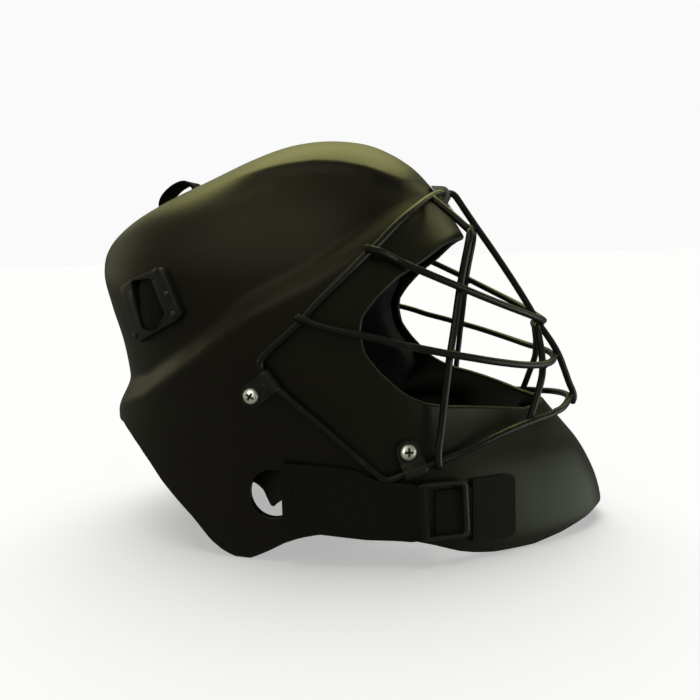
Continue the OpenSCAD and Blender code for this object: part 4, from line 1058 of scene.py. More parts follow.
def screw_pieces():
    """The four screws as one piece, their dark rings of painted shade as another, and the nuts
    inside the shell.
    """
    made = [screw_piece(f"screw_{key}_{hand}", screw, grip, mirror,
                        0.35 + 0.9 * k + 0.4 * mirror)
            for k, (key, (screw, grip)) in enumerate(CLIPS.items()) for hand, mirror in HANDS]
    heads, rings = zip(*made)
    heads[0].name, rings[0].name = "pan_screws", "screw_rings"
    done(join(*heads), "helmet", "clip_screws")
    done(join(*rings), "helmet", None)
    dress("clip_nuts", "dark_rivet")
    light_brightly(heads[0])


def saddle_piece():
    """The saddle over the rim's top run: its side outline carried across, smaller at the
    last rows, notched for the middle wire, with its tab in front."""
    f = middle_seat(0.0, level(216.5))
    wire = mm("wire") / 2
    top = RIM_OUT + wire + 0.35 + mm("clip_sheet")
    line = np.array([(-8, 0.15), (-8, 0.95), (-6.9, 2.3), (-5.4, 4.1), (-3.6, 6.4),
                     (-2.3, top - 0.7), (-0.9, top - 0.1), (0.6, top), (1.9, top - 0.4),
                     (3, top - 1.6), (3.9, 5.4), (4.7, 3.6), (5.6, 2.2), (6.8, 1.75),
                     (12.4, 1.75), (12.4, 0.15)])
    ys = np.array([-15, -14.85, -14.4, -8, 0, 8, 14.4, 14.85, 15])
    shrink = np.array([0.93, 0.975, 1, 1, 1, 1, 1, 0.975, 0.93])[:, None, None]
    core = np.array([0.5, 2.5])
    q = core + (line - core) * shrink
    rows = np.stack([q[..., 0], np.broadcast_to(ys[:, None], q.shape[:2]), q[..., 1]], -1)
    obj = mesh_piece("brow_saddle", [(from_seat(f, rows), loft_faces(len(ys), len(line)))],
                     paint("brow_clip"), 35)
    notch = prism(box((-2.4, 9), wire + 0.4), (RIM_OUT - wire - 0.3, 20), f)
    boolean(obj, mesh_piece("notch", [notch], paint("brow_clip")))
    obj.data.set_sharp_from_angle(angle=math.radians(35))
    done(obj, "helmet", "brow_clip")
    light_brightly(obj)
    light_brightly(dress("brow_rivets", "zinc"))


def cubic_terms(x, y):
    """The terms of a cubic in two variables, without x^2 y^2."""
    return np.stack([np.ones_like(x), x, y, x ** 2, x * y, y ** 2, x ** 3, y ** 3, x ** 2 * y,
                     x * y ** 2], -1)


def by_angle(outline, core, angles):
    """A closed outline sampled at even angles round a point inside it."""
    p = np.vstack([outline, outline[:1]])
    d = run(p)
    e = along_path(p, d, np.linspace(0, d[-1], 4000, endpoint=False)) - core
    way = np.unwrap(np.arctan2(e[:, 1], e[:, 0]))
    if way[-1] < way[0]:
        e, way = e[::-1], way[::-1]
    order = np.argsort(way % (2 * np.pi))
    key, e = (way % (2 * np.pi))[order], e[order]
    return core + np.stack([np.interp(angles, key, e[:, i], period=2 * np.pi) for i in (0, 1)], -1)


def plate_piece(name, mirror):
    """The raised slot plate: rings that run from its outer outline to its slot's, each at
    its own height over the shell, which a cubic follows. The slot has a raised lip."""
    f, n = plate_frame(), 160
    outer = rounded(flat_on(f, PLATE), 5, 8)
    inner = rounded(flat_on(f, SLOT), 2.5, 8)
    core, angles = inner.mean(0), np.linspace(0, 2 * np.pi, n, endpoint=False)
    outer, inner = (by_angle(p, core, angles) for p in (outer, inner))
    gx, gz = np.meshgrid(np.linspace(-146, -74, 37), np.linspace(118, 190, 37))
    d = side(gx.ravel(), gz.ravel()) - f[0]
    fit = np.linalg.lstsq(cubic_terms(d @ f[1], d @ f[2]), d @ f[3], rcond=None)[0]
    t = mm("plate")
    # share of the way to the slot, and height: from under the outer edge down into the slot
    way, rise = np.array([(0.0, -1.0), (0.0, t * 0.55), (0.02, t * 0.8), (0.07, t * 0.95),
                          (0.15, t), (0.5, t + 0.1), (0.80, t), (0.84, t + 0.5),
                          (0.93, t + 0.5), (0.99, t + 0.1), (1.0, t - 0.6), (1.0, -3.0)]).T
    q = outer + (inner - outer) * way[:, None, None]
    z = cubic_terms(q[..., 0], q[..., 1]) @ fit + rise[:, None]
    rings = from_seat(f, np.concatenate([q, z[..., None]], -1))
    return mesh_piece(name, [(rings, loft_faces(len(rings), n, loop=True))], paint("plate"), 50,
                      mirror=mirror)


def rivet_parts(p, z, r, h):
    """A domed rivet head at a side view place, z over the skin."""
    return lathe([(0.01, z - 1.0), (r, z - 1.0), (r, z + 0.25 * h), (r * 0.86, z + 0.62 * h),
                  (r * 0.55, z + 0.9 * h), (0.01, z + h)], seat(p, (p[0] + 6, p[1])), 28)


def plate_pieces():
    """The raised plates round the slots, and the small rivets at their corners."""
    for hand, mirror in HANDS:
        done(plate_piece(f"raised_plate_{hand}", mirror), "helmet", f"slot_plate_{hand}")
    rivets = both_sides([rivet_parts(q, mm("plate") - 0.1, 1.9, 0.8) for q in PLATE_RIVETS])
    done(mesh_piece("small_rivets", rivets, paint("dark_rivet"), 40), "helmet",
         "slot_plate_rivets")


def dress(node_name, key, bevel=0.3):
    """A CAD node that stays gets its material and softened edges."""
    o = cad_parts[node_name]
    o.data.materials.clear()
    o.data.materials.append(paint(key))
    m = o.modifiers.new("soft_edges", "BEVEL")
    m.width, m.segments, m.limit_method = bevel * MM, 2, "ANGLE"
    m.angle_limit, m.harden_normals = math.radians(40), False
    return o


def light_brightly(obj):
    """Lets the small light for bright parts reach a piece."""
    bpy.data.collections["bright_metal"].objects.link(obj)


# ---------------------------------------------------------------- webbing, straps and rings
def sheet_solid(grid, t, swell=0.0):
    """Cloth of thickness t round a grid of middle points, with its millimetre coordinates.

    Rows run along the cloth and columns across it. Each row becomes one ring of the solid:
    half the thickness out along the grid's normal, three points round the edge, half the
    thickness inwards, and the other edge. swell thickens the woven edges by a bell curve."""
    g = np.asarray(grid, float)
    du, dv = np.gradient(g, axis=0), np.gradient(g, axis=1)
    n = unit(np.cross(dv, du))
    across = unit(dv)
    along = run(g[:, g.shape[1] // 2])
    step = np.linalg.norm(np.diff(g, axis=1), axis=2)
    v = np.concatenate([np.zeros((len(g), 1)), np.cumsum(step, axis=1)], 1)
    v -= v[:, -1:] / 2
    edge = 1 + swell * np.exp(-((v[:, -1:] - np.abs(v)) / 1.2) ** 2)
    h = t / 2 * edge[..., None]
    cap = [(math.cos(a), math.sin(a)) for a in np.radians([55, 0, -55])]
    top, low = g + n * h, (g - n * h)[:, ::-1]

    def rim(k, way):
        """The round edge at column k, which bulges the given way across the cloth."""
        return np.stack([g[:, k] + way * (n[:, k] * s + across[:, k] * c) * h[:, k]
                         for c, s in cap], 1)
    rings = np.concatenate([top, rim(-1, 1), low, rim(0, -1)], 1)
    r = np.repeat(v[:, -1:], 3, 1)
    uv = np.stack([np.repeat(along[:, None], rings.shape[1], 1),
                   np.concatenate([v, r + 0.5, v[:, ::-1], -r - 0.5], 1)], -1)
    return rings, loft_faces(len(rings), rings.shape[1]), uv.reshape(-1, 2)


def side_grid(x, z, out):
    """Points of the right side for a grid of places: one x and out for each row, z for all."""
    m = z.shape[1]
    return side(np.repeat(x[:, None], m, 1).ravel(), z.ravel(),
                np.broadcast_to(out, z.shape).ravel()).reshape(*z.shape, 3)


def skin_rows(table, m, n=5):
    """Rows of points across a strap that follows the skin: a curve through x, z, out and
    width, and each row spreads half its width to both sides along the skin."""
    x, z, out, w = curve(table, n).T
    rise = unit(side(x, z + 6) - side(x, z - 6))[:, 2:3]
    spread = z[:, None] + rise * w[:, None] * np.linspace(-0.5, 0.5, m)
    return side_grid(x, spread, out[:, None])


def flat_rows(centre, up, width, m):
    """Rows of m points: each centre plus the row's up vector times shares of its width."""
    s = np.linspace(-0.5, 0.5, m)
    return centre[:, None] + up[:, None] * (np.asarray(width)[:, None, None] * s[None, :, None])


# the neck strap's way behind the head, as half of it
STRAP_BACK = at([(-108, -58, 66), (-120, -32, 69), (-124, 0, 70)])
ANCHOR_T, ANCHOR_Z = 1.25, 27.8


def strap_layers():
    """Heights over the skin of the strap's lower and upper layer, from its thickness."""
    t = mm("strap")
    return t / 2 + 0.4, 1.5 * t + 0.6


def strap_grid(m=15):
    """The neck strap from the right cheek through its hole and round to the middle. In the
    hole it bunches up, twists and turns inwards."""
    low, _ = strap_layers()
    rows = skin_rows([
        (40, 32, low, 31.9), (32, 33.4, low, 34.2), (23, 36, low, 36.9), (8, 38.4, low, 38),
        (-8, 40.2, low, 36.9), (-14, 43.8, low + 0.1, 21), (-18, 46.3, -0.8, 12),
        (-22, 46.1, -3.6, 15.8), (-26.5, 45, -6.6, 20.1), (-30.3, 43.6, -9, 22.8),
        (-34, 46.7, -11, 20.6), (-37.8, 51.4, -12, 19.2), (-46, 56, -13, 21),
        (-60, 56.5, -12.5, 25.8), (-85, 61, -12.5, 30.4)], m)
    back = curve(np.vstack([rows[-1].mean(0), STRAP_BACK]), 8, 2)[1:]
    tilt = unit(rows[-1][-1] - rows[-1][0])
    k = smooth(np.linspace(0, 1, len(back))[:, None] * 1.6)
    up = unit(tilt * (1 - k) + np.array([0, 0, 1.0]) * k)
    return np.concatenate([rows, flat_rows(back, up, np.full(len(back), 32.7), m)])


def ring_seat():
    """The seat of the buckle ring."""
    return seat((72, 31), (84, 31))


def join_rows(p, q, n):
    """Rows between two parts of a strap: the cubic through both ends with their directions,
    its end slopes as long as the gap."""
    t = (np.arange(1, n) / n)[:, None, None]
    s = np.linalg.norm(p[-1] - q[0], axis=-1).mean()
    da = (p[-1] - p[-2]) / np.linalg.norm(p[-1] - p[-2], axis=-1).mean() * s
    db = (q[1] - q[0]) / np.linalg.norm(q[1] - q[0], axis=-1).mean() * s
    return ((2 * t ** 3 - 3 * t ** 2 + 1) * p[-1] + (t ** 3 - 2 * t ** 2 + t) * da
            + (-2 * t ** 3 + 3 * t ** 2) * q[0] + (t ** 3 - t ** 2) * db)


def turned_grid(m=15):
    """The strap's end: up to the ring, an arc round its rear bar, and back over the strap."""
    f, (low, high) = ring_seat(), strap_layers()
    first = skin_rows([(40, 32, low, 31.9), (45, 31.8, low + 0.15, 31.5),
                       (50, 31.6, low + 0.3, 31.2)], m, 4)
    a = np.radians(np.linspace(-95, 80, 22))
    arc = from_seat(f, np.stack([RING_X[0] + 3.5 * np.cos(a), 0 * a,
                                 RING_OUT + 3.5 * np.sin(a)], -1))
    arc = flat_rows(arc, np.repeat(f[2][None], len(arc), 0), np.full(len(arc), 28.0), m)
    last = skin_rows([(52, 31.4, high + 3, 31.2), (45, 31.8, high + 1.2, 31.5),
                      (36, 32.6, high, 32.7), (28, 34.4, high, 35.3), (20, 36.8, high, 38),
                      (6, 38.6, high, 38), (-8, 40.2, high, 38), (-20, 41.2, high, 38)], m, 6)
    return np.concatenate([first, join_rows(first, arc, 6), arc, join_rows(arc, last, 8), last])


def stitch_row(points, normals, pitch=2.6, length=1.9, r=0.32):
    """A row of thread stitches along a line of points: small humps, each a cosine high, that
    dip in at both ends."""
    d = run(points)
    t = np.linspace(-0.5, 0.5, 7)
    parts = []
    for s in np.arange(pitch * 0.6, d[-1] - pitch * 0.4, pitch):
        k = s + t * length
        n = along_path(normals, d, k)
        p = along_path(points, d, k) + n * (0.30 * np.cos(np.pi * t) - 0.05)[:, None]
        rings = tube_rings(p, 2 * r * np.sqrt(1 - (1.7 * t) ** 2 * 0.9), 8, n[0],
                           round_ends=False)
        parts.append((rings, loft_faces(7, 8)))
    return parts


def on_sheet(grid, t, rows, cols):
    """Points and normals on a cloth's upper face at fractional rows and columns: the mean of
    the four grid points round each, by their nearness."""
    g = np.asarray(grid, float)
    n = unit(np.cross(np.gradient(g, axis=1), np.gradient(g, axis=0)))
    r, c = np.broadcast_arrays(np.asarray(rows, float), np.asarray(cols, float))
    r, c = np.clip(r, 0, len(g) - 1.001), np.clip(c, 0, g.shape[1] - 1.001)
    i, j = r.astype(int), c.astype(int)
    fr, fc = (r - i)[:, None], (c - j)[:, None]

    def pick(a):
        return (a[i, j] * (1 - fr) * (1 - fc) + a[i + 1, j] * fr * (1 - fc)
                + a[i, j + 1] * (1 - fr) * fc + a[i + 1, j + 1] * fr * fc)
    return pick(g) + unit(pick(n)) * t / 2, unit(pick(n))


def seams(grid, t, lines):
    """Stitches on a cloth along lines of (rows, columns)."""
    return [part for rows, cols in lines for part in stitch_row(*on_sheet(grid, t, rows, cols))]


def cloth_piece(name, grid, t, key, mirror, swell=0.12):
    """A cloth as one object, from its grid of middle points."""
    rings, faces, uv = sheet_solid(flip(grid) if mirror else grid, t, swell)
    return mesh_piece(name, [(rings, faces)], paint(key), 50, uv)


def metres(p, mirror=False):
    """A point in metres, for the frame's own calls."""
    q = flip(p) if mirror else np.asarray(p, float)
    return tuple(float(k) * MM for k in q)


def neck_strap_piece():
    """The elastic, from ring to ring round the back of the head."""
    half = strap_grid()
    full = np.concatenate([half, flip(half[-2::-1])])
    done(cloth_piece("elastic_neck_strap", full, mm("strap"), "elastic", False), "helmet",
         "neck_strap")


def strap_end_pieces():
    """The strap's turned ends with their stitches."""
    turned, t = turned_grid(), mm("strap")
    rows, cols = len(turned), turned.shape[1]
    lines = [(r, np.linspace(0.6, cols - 1.6, 60)) for r in (rows - 3.2, rows - 5.0)] \
        + [(np.linspace(rows - 46, rows - 5, 200), c) for c in (0.8, cols - 1.8)]
    for hand, mirror in HANDS:
        end = cloth_piece(f"turned_end_{hand}", turned, t, "elastic", mirror)
        thread = mesh_piece(f"end_stitches_{hand}", seams(turned, t, lines), paint("thread"), 70,
                            mirror=mirror)
        for o in (end, thread):
            metres(side(37, 32), mirror)
            metres(side(55, 31), mirror)
            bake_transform(o)
        done(end, None, f"strap_end_{hand}")


def ring_piece(name, mirror):
    """The buckle ring: a superellipse carried round a rectangle with filleted corners. It is
    round and wide along the two bars, and squarer and thinner along the rails."""
    f = ring_seat()
    (rear, fore), half = RING_X, RING_HALF
    c = rounded([(rear, -half), (fore, -half), (fore, half), (rear, half)], 3.2, 9)
    p = np.vstack([c, c[:1]])
    d = run(p)
    path = along_path(p, d, np.linspace(0, d[-1], 140, endpoint=False))
    t = tangents(path, True)
    out = np.stack([t[:, 1], -t[:, 0]], -1)
    bar = smooth((np.abs(t[:, 1]) - 0.3) / 0.6)[:, None]
    ang = 2 * np.pi * (np.arange(20) + 0.5) / 20
    e = 2 / (2.2 + 1.6 * (1 - bar))
    cx, cz = signed_pow(np.cos(ang)[None], e), signed_pow(np.sin(ang)[None], e)
    wide = 1.4 + 0.5 * bar
    pts = np.stack([path[:, :1] + out[:, :1] * cx * wide, path[:, 1:] + out[:, 1:] * cx * wide,
                    RING_OUT + cz * mm("ring_bar") / 2], -1)
    return mesh_piece(name, [(from_seat(f, pts), loft_faces(len(pts), 20, loop=True))],
                      paint("ring"), 60, mirror=mirror)


def ring_pieces():
    """The two buckle rings."""
    for hand, mirror in HANDS:
        done(ring_piece(f"rectangular_ring_{hand}", mirror), f"ring_{hand}",
             f"buckle_ring_{hand}")


def anchor_layers(m=15):
    """The anchor: a ribbon that lies on the shell, runs under the ring's front bar and on
    under its window, and a patch sewn over it in front of the bar. The patch's corners are
    round: its half height falls along a quarter circle."""
    def layer(x, out, half):
        s = np.linspace(-1, 1, m)
        return side_grid(x, ANCHOR_Z + half[:, None] * s, out[:, None])
    x, out = curve([(110, 0.95), (98, 0.95), (90, 1.15), (84.6, 1.5), (79, 1.7), (73, 1.35),
                    (67.5, 0.85)], 5).T
    ribbon = layer(x, out, np.full(len(x), 13.6))
    x = np.array([88.2, 88.6, 90, 94, 98, 102, 106, 108.5, 110.5, 111.8, 112.6])
    corner = np.sqrt(np.maximum(0, 1 - np.maximum(0, (x - 107.5) / 5.5) ** 2))
    return ribbon, layer(x, np.full(len(x), 2.25), 13.4 + 4.6 * corner)


def anchor_pieces():
    """The ring anchors with their stitches, and the rivets that hold them."""
    ribbon, patch = anchor_layers()
    last, cols = len(patch) - 1, patch.shape[1]
    lines = [(r, np.linspace(1.2, cols - 2.2, 60)) for r in (1.6, last - 3.2)] \
        + [(np.linspace(1.6, last - 3.2, 60), c) for c in (1.1, cols - 2.1)]
    for hand, mirror in HANDS:
        cloths = [cloth_piece(f"anchor_{what}_{hand}", grid, ANCHOR_T, "anchor", mirror, 0.0)
                  for what, grid in (("patch", patch), ("ribbon", ribbon))]
        done(mesh_piece(f"anchor_stitches_{hand}", seams(patch, ANCHOR_T, lines),
                        paint("thread"), 70, mirror=mirror), "helmet", None)
        done(join(*cloths), "helmet", f"ring_anchor_{hand}")
    dress("anchor_rivets", "dark_rivet")


def side_web_rows(m=13):
    """The side web: from the plate behind the head up to the slot, where its bunched loop
    fills the opening, and back in. The rows give x, out, and the lower and upper edge; out
    falls by a fourth power towards both edges."""
    x, out, low, high = curve([
        (-127, -19.5, 111, 131), (-125, -18.5, 120, 142), (-122.5, -16, 130, 155),
        (-119.8, -9, 139, 166), (-118.6, -3.5, 143.5, 167.6), (-117.4, 0.6, 142, 167.7),
        (-115, 1.9, 138.6, 167.9), (-111, 2.9, 138.5, 168.1), (-107, 3.0, 138.5, 168.3),
        (-104, 2.5, 139, 167.4), (-101, 1.7, 141.2, 160), (-98.8, 0.4, 143.4, 155),
        (-97.8, -3, 144, 153), (-98.5, -8, 141, 156)], 5).T[..., None]
    s = np.linspace(0, 1, m)[None]
    return side_grid(x[:, 0], low + (high - low) * s, out - 0.7 * (2 * s - 1) ** 4)


TOP_WEB = at([
    (-101.5, 0, 214), (-103, 0, 222), (-104.6, 0, 230), (-108.5, 0, 234.2), (-114, 0, 234.8),
    (-121, 0, 231.8), (-127.4, 0, 226.4), (-130.2, 0, 221), (-129.8, 0, 216),
    (-129.8, 0, 211.4), (-133, 0, 205), (-142, 0, 194.4), (-149, 0, 180), (-149.4, 0, 163.5),
    (-148.2, 0, 154.5), (-146.9, 0, 148), (-145.2, 0, 142.1), (-143.3, 0, 135.4),
    (-142, 0, 129.4)])


def web_pieces():
    """The webs of the back plate, and the plate itself."""
    web, t = side_web_rows(), mm("web")
    for hand, mirror in HANDS:
        w = cloth_piece(f"side_web_{hand}", web, t, "web", mirror)
        metres(side(-116, 147, -11), mirror)
        metres(side(-126, 124, -19), mirror)
        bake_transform(w)
        done(w, None, f"harness_web_{hand}")
    c = curve(TOP_WEB, 6)
    rows = flat_rows(c, np.repeat([[0, 1.0, 0]], len(c), 0), np.full(len(c), mm("top_web")), 11)
    top = cloth_piece("top_web", rows, t, "web", False)
    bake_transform(top)
    done(top, None, "harness_web_top")
    dress("occipital_plate", "inner")


# ---------------------------------------------------------------- foam pads
def squeeze(u, v):
    """A square's points drawn in to a rounder outline, each by the other's square."""
    return u * np.sqrt(1 - 0.22 * v * v), v * np.sqrt(1 - 0.22 * u * u)


def crowned(u, v):
    """A pad's share of its thickness: full in the middle, by sixth powers down to 0.45."""
    return 0.45 + 0.55 * np.sqrt(np.maximum(0, (1 - u ** 6) * (1 - v ** 6)))


def pad_square(n=45):
    """A square grid from -1 to 1, closer at its edges, by a sine."""
    t = np.sin(np.linspace(-np.pi / 2, np.pi / 2, n))
    return np.meshgrid(t, t)


def pad_piece(name, body, cad, spot, t, skip, mirror=False):
    """A crowned foam pad between the wall and its inner face, its rim rolled over.

    spot gives the places of the back, on the detailed skin, and of the face, on the plain
    one. Four rows of wall between them belly out by a sine."""
    U, V = pad_square()
    q, n, wall = squeeze(U, V), len(U), mm("wall")
    back = spot(*q, wall + 0.4 + skip, 1.0)
    face = spot(*q, wall + skip + t * crowned(U, V), 0.0)
    k = np.arange(n - 1)
    ri = np.concatenate([0 * k, k, 0 * k + n - 1, k[::-1] + 1])
    rj = np.concatenate([k, 0 * k + n - 1, k[::-1] + 1, 0 * k])
    a, b = back[ri, rj], face[ri, rj]
    core = (back.reshape(-1, 3).mean(0) + face.reshape(-1, 3).mean(0)) / 2
    out = np.cross(tangents(a, True), unit(b - a))
    out = unit(out * np.sign(((a - core) * out).sum(1, keepdims=True)))
    walls = [a + (b - a) * w + out * 0.55 * math.sin(math.pi * w) for w in (0.2, 0.45, 0.7, 0.88)]
    pts = np.vstack([back.reshape(-1, 3), face.reshape(-1, 3)] + walls)
    ids = np.arange(n * n).reshape(n, n)
    sheet = (ids[:-1, :-1], ids[:-1, 1:], ids[1:, 1:], ids[1:, :-1])
    faces = quads(*sheet) + quads(*(n * n + c for c in sheet[::-1]))
    loops = [ri * n + rj] + [2 * n * n + w * len(ri) + np.arange(len(ri)) for w in range(4)] \
        + [n * n + ri * n + rj]
    for p, q in zip(loops[:-1], loops[1:]):
        faces += quads(p, np.roll(p, -1), np.roll(q, -1), q)
    obj = mesh_piece(name, [(pts, faces)], paint("foam"), 50, mirror=mirror)
    done(obj, body, cad)


def between(low, high, share):
    """The value at a share from -1 to 1 between two values."""
    return (low + high) / 2 + share * (high - low) / 2


def by_outline(z1, z2, fore, aft):
    """Places of a pad on the right side, between two heights and two edges of (z, x)."""
    def spot(u, v, depth, detail):
        z = between(z1, z2, v)
        rear, forward = (np.interp(z, *np.array(edge, float).T) for edge in (aft, fore))
        x = between(rear, forward, u)
        return side(x, z, -np.broadcast_to(depth, x.shape), detail)
    return spot


def by_bearing(b1, b2, z1, z2, deeper=0.0):
    """Places of a pad between two bearings and two heights."""
    def spot(u, v, depth, detail):
        b = between(b1, b2, u)
        return place(b, level(between(z1, z2, v)), -np.broadcast_to(depth + deeper, b.shape),
                     detail)
    return spot


def roof(x, y):
    """The plain skin's point over a place in plan: the level where the section's ellipse,
    with both of its powers two, passes through it, by halving."""
    def inside(m):
        v = section(m)
        c = middle(v[..., 0])
        return np.where(x > c, (x - c) / (v[..., 2] - c), (c - x) / (c - v[..., 1])) ** 2 \
            + (np.abs(y) / np.maximum(0.1, v[..., 3])) ** 2 < 1
    s = bisect(np.full(x.shape, 9.0), np.full(x.shape, float(TOP)), inside, 30)
    return at(np.stack([x, y, section(s)[..., 0]], -1))


def roof_spot(u, v, depth, detail):
    """Places of the crown pad, which drops away towards its edges."""
    p = roof(-37 + 58 * u, 47 * v)
    U, V = pad_square()
    p[..., 2] -= depth - 1.5 + 3 * (U * U + V * V)
    return p


def plate_spot(u, v, depth, detail):
    """Places of the back plate's pad, on the plain skin 24 mm and more inside it."""
    inset = 24 - mm("wall") - (0.4 if detail else 0)
    return by_bearing(144, 216, 96, 136, inset)(u, v, depth, 0.0)


def pad_pieces():
    """The ten foam pads."""
    t = mm("pad")
    fore = [(72, 44), (92, 46), (101, 42), (107, 36.5), (113, 31), (120, 26), (130, 22.5),
            (140, 22), (147, 25), (153, 29), (160, 34), (168, 39), (178, 46)]
    aft = [(72, -70), (120, -84), (178, -84)]
    cheek = by_outline(26, 66, [(26, 80), (66, 78)], [(26, 22), (66, 22)])
    for hand, mirror in HANDS:
        pad_piece(f"side_foam_{hand}", "helmet", f"side_pad_{hand}",
                  by_outline(72, 178, fore, aft), t, 2, mirror)
        pad_piece(f"jaw_foam_{hand}", "helmet", f"jaw_pad_{hand}", cheek, t * 0.8, 0, mirror)
        pad_piece(f"rear_foam_{hand}", "helmet", f"rear_pad_{hand}",
                  by_bearing(118, 166, 164, 202), t * 0.8, 0.3, mirror)
    pad_piece("brow_foam", "helmet", "brow_pad", by_bearing(-52, 52, 194, 218), t, 0)
    pad_piece("chin_foam", "helmet", "chin_pad", by_bearing(-33, 33, 24, 70), t * 0.8, 0.3)
    pad_piece("crown_foam", "helmet", "crown_pad", roof_spot, t, 0)
    pad_piece("occipital_foam", "back_plate", "occipital_pad", plate_spot, t * 0.7, 0)


# ---------------------------------------------------------------- stage
# the camera: its turn from the side, height angle and tip in degrees, place and lens
YAW, RISE, TIP = 10.6, 7.8, 1.7
CAMERA_AT, LENS, SENSOR = (98.9, -506.3, 180.8), 37.67, 36
# softboxes round the helmet: bearing from +X, height angle, distance, size, level, colour
BOXES = [("crown", 105, 56, 1.25, (1.5, 0.8), 2.1, (1.0, 1.0, 0.38)),
         ("back", 115, 24, 1.3, (1.4, 0.45), 0.42, (1.0, 1.0, 0.5)),
         ("back_right", 42, 27, 1.2, (0.45, 0.35), 1.3, (1.0, 1.0, 0.45)),
         ("rear", 170, 14, 1.1, (0.7, 0.6), 0.45, (1.0, 1.0, 0.6)),
         ("chin", -2, -10, 0.8, (0.95, 0.4), 1.2, (0.84, 1.0, 0.85)),
         ("front", -110, 46, 1.3, (1.5, 0.9), 0.5, (1.0, 0.97, 0.72)),
         ("metal", -108, 14, 1.1, (0.45, 0.45), 6.0, (0.98, 1.0, 0.9))]
# the softboxes look at this place over the floor
AIM = Vector((0.0, 0.0, 0.13))


def add_object(name, data):
    """A new object in the scene."""
    o = bpy.data.objects.new(name, data)
    bpy.context.scene.collection.objects.link(o)
    return o


def add_camera():
    """The photograph's direction, turned to the part's frame: right, up and back vectors from
    the turn and the height angle, then tipped about the helmet's left-to-right line."""
    yaw, rise, tip = np.radians([YAW, RISE, TIP])
    right = np.array([math.cos(yaw), math.sin(yaw), 0])
    ahead = np.array([-math.sin(yaw) * math.cos(rise), math.cos(yaw) * math.cos(rise),
                      -math.sin(rise)])
    turn = np.array([[math.cos(tip), 0, math.sin(tip)], [0, 1, 0],
                     [-math.sin(tip), 0, math.cos(tip)]])
    axes = turn @ np.stack([right, np.cross(right, ahead), -ahead], -1)
    cam = add_object("camera", bpy.data.cameras.new("camera"))
    cam.matrix_world = Matrix.Translation(Vector(CAMERA_AT) * MM) @ Matrix(axes.tolist()).to_4x4()
    cam.data.sensor_width, cam.data.lens, cam.data.clip_start = SENSOR, LENS, 0.01
    bpy.context.scene.camera = cam


def add_floor(shade, glow):
    """One large pale sheet with a very faint mottling and a weak glow. It sends no light back
    to the helmet, as in a photograph cut out of its background."""
    bm = bmesh.new()
    bmesh.ops.create_grid(bm, x_segments=40, y_segments=40, size=30)
    mesh = bpy.data.meshes.new("floor")
    bm.to_mesh(mesh)
    bm.free()
    floor = add_object("floor", mesh)
    mat, t, b = material("floor_paper")
    mottle = noise(t, 9.0, in_Detail=3.0)
    paper = ramp(t, mottle, [(0.3, (shade * 0.985,) * 3), (0.7, (shade,) * 3)])
    t.links.new(paper, b.inputs["Base Color"])
    for key, value in (("Roughness", 0.9), ("Specular IOR Level", 0.1),
                       ("Emission Color", (1, 1, 1, 1)), ("Emission Strength", glow)):
        b.inputs[key].default_value = value
    mesh.materials.append(mat)
    floor.visible_diffuse = floor.visible_glossy = False
    return floor


def add_world(strength, backdrop):
    """A dim warm world that lights the helmet, and a plain pale one that the camera sees."""
    scene = bpy.context.scene
    scene.world = bpy.data.worlds.new("studio")
    scene.world.use_nodes = True
    w = scene.world.node_tree
    back, seen = w.nodes["Background"], w.nodes.new("ShaderNodeBackground")
    for n, power, colour in ((back, strength, (1, 0.97, 0.84)), (seen, 1.0, backdrop)):
        n.inputs["Strength"].default_value = power
        n.inputs["Color"].default_value = (*colour, 1)
    path, mix = w.nodes.new("ShaderNodeLightPath"), w.nodes.new("ShaderNodeMixShader")
    w.links.new(path.outputs["Is Camera Ray"], mix.inputs[0])
    w.links.new(back.outputs[0], mix.inputs[1])
    w.links.new(seen.outputs[0], mix.inputs[2])
    w.links.new(mix.outputs[0], w.nodes["World Output"].inputs[0])


def add_softbox(name, way, rise, reach, size, shine, colour):
    """A rectangle of light on a sphere round the helmet, turned to it. Its power is its level
    times pi times its area."""
    w, h = math.radians(way), math.radians(rise)
    data = bpy.data.lights.new(name, "AREA")
    data.shape, data.size, data.size_y = "RECTANGLE", *size
    data.energy, data.color = shine * math.pi * size[0] * size[1], colour
    light = add_object(name, data)
    light.location = AIM + reach * Vector((math.cos(h) * math.cos(w), math.cos(h) * math.sin(w),
                                           math.sin(h)))
    light.rotation_euler = (AIM - light.location).to_track_quat("-Z", "Y").to_euler()
    light.visible_camera = False
    return light


def stage_pieces():
    """Camera, floor, world and lights. The floor has its own sun, the softboxes light only
    the helmet, and one small light reaches only the bright parts."""
    p = bpy.context.scene.helmet_lights
    bpy.context.scene.view_settings.view_transform = "Standard"
    add_camera()
    floor = add_floor(p.floor_shade, p.floor_glow)
    add_world(p.world_light, tuple(p.backdrop))
    only, but, bright = (bpy.data.collections.new(name)
                         for name in ("floor_only", "all_but_floor", "bright_metal"))
    only.objects.link(floor)
    but.objects.link(floor)
    but.collection_objects[0].light_linking.link_state = "EXCLUDE"
    sun = add_object("sun", bpy.data.lights.new("sun", "SUN"))
    sun.data.energy, sun.data.angle = p.floor_light, math.radians(60)
    sun.rotation_euler = (math.radians(-22), math.radians(-10), 0)
    sun.light_linking.receiver_collection = only
    for name, *rest in BOXES:
        light = add_softbox(name, *rest)
        light.data.energy *= p.softboxes
        light.light_linking.receiver_collection = bright if name == "metal" else but
        light.light_linking.blocker_collection = but


# ---------------------------------------------------------------- add-on
def length(name, description, default):
    """A length in metres that can grow or shrink by a fifth."""
    return FloatProperty(name=name, description=description, default=default,
                         min=default * 0.8, max=default * 1.2, precision=4,
                         subtype="DISTANCE", unit="LENGTH")


def tone(name, description, default):
    """A linear colour."""
    return FloatVectorProperty(name=name, description=description, default=default, size=3,
                               min=0, max=1, subtype="COLOR")


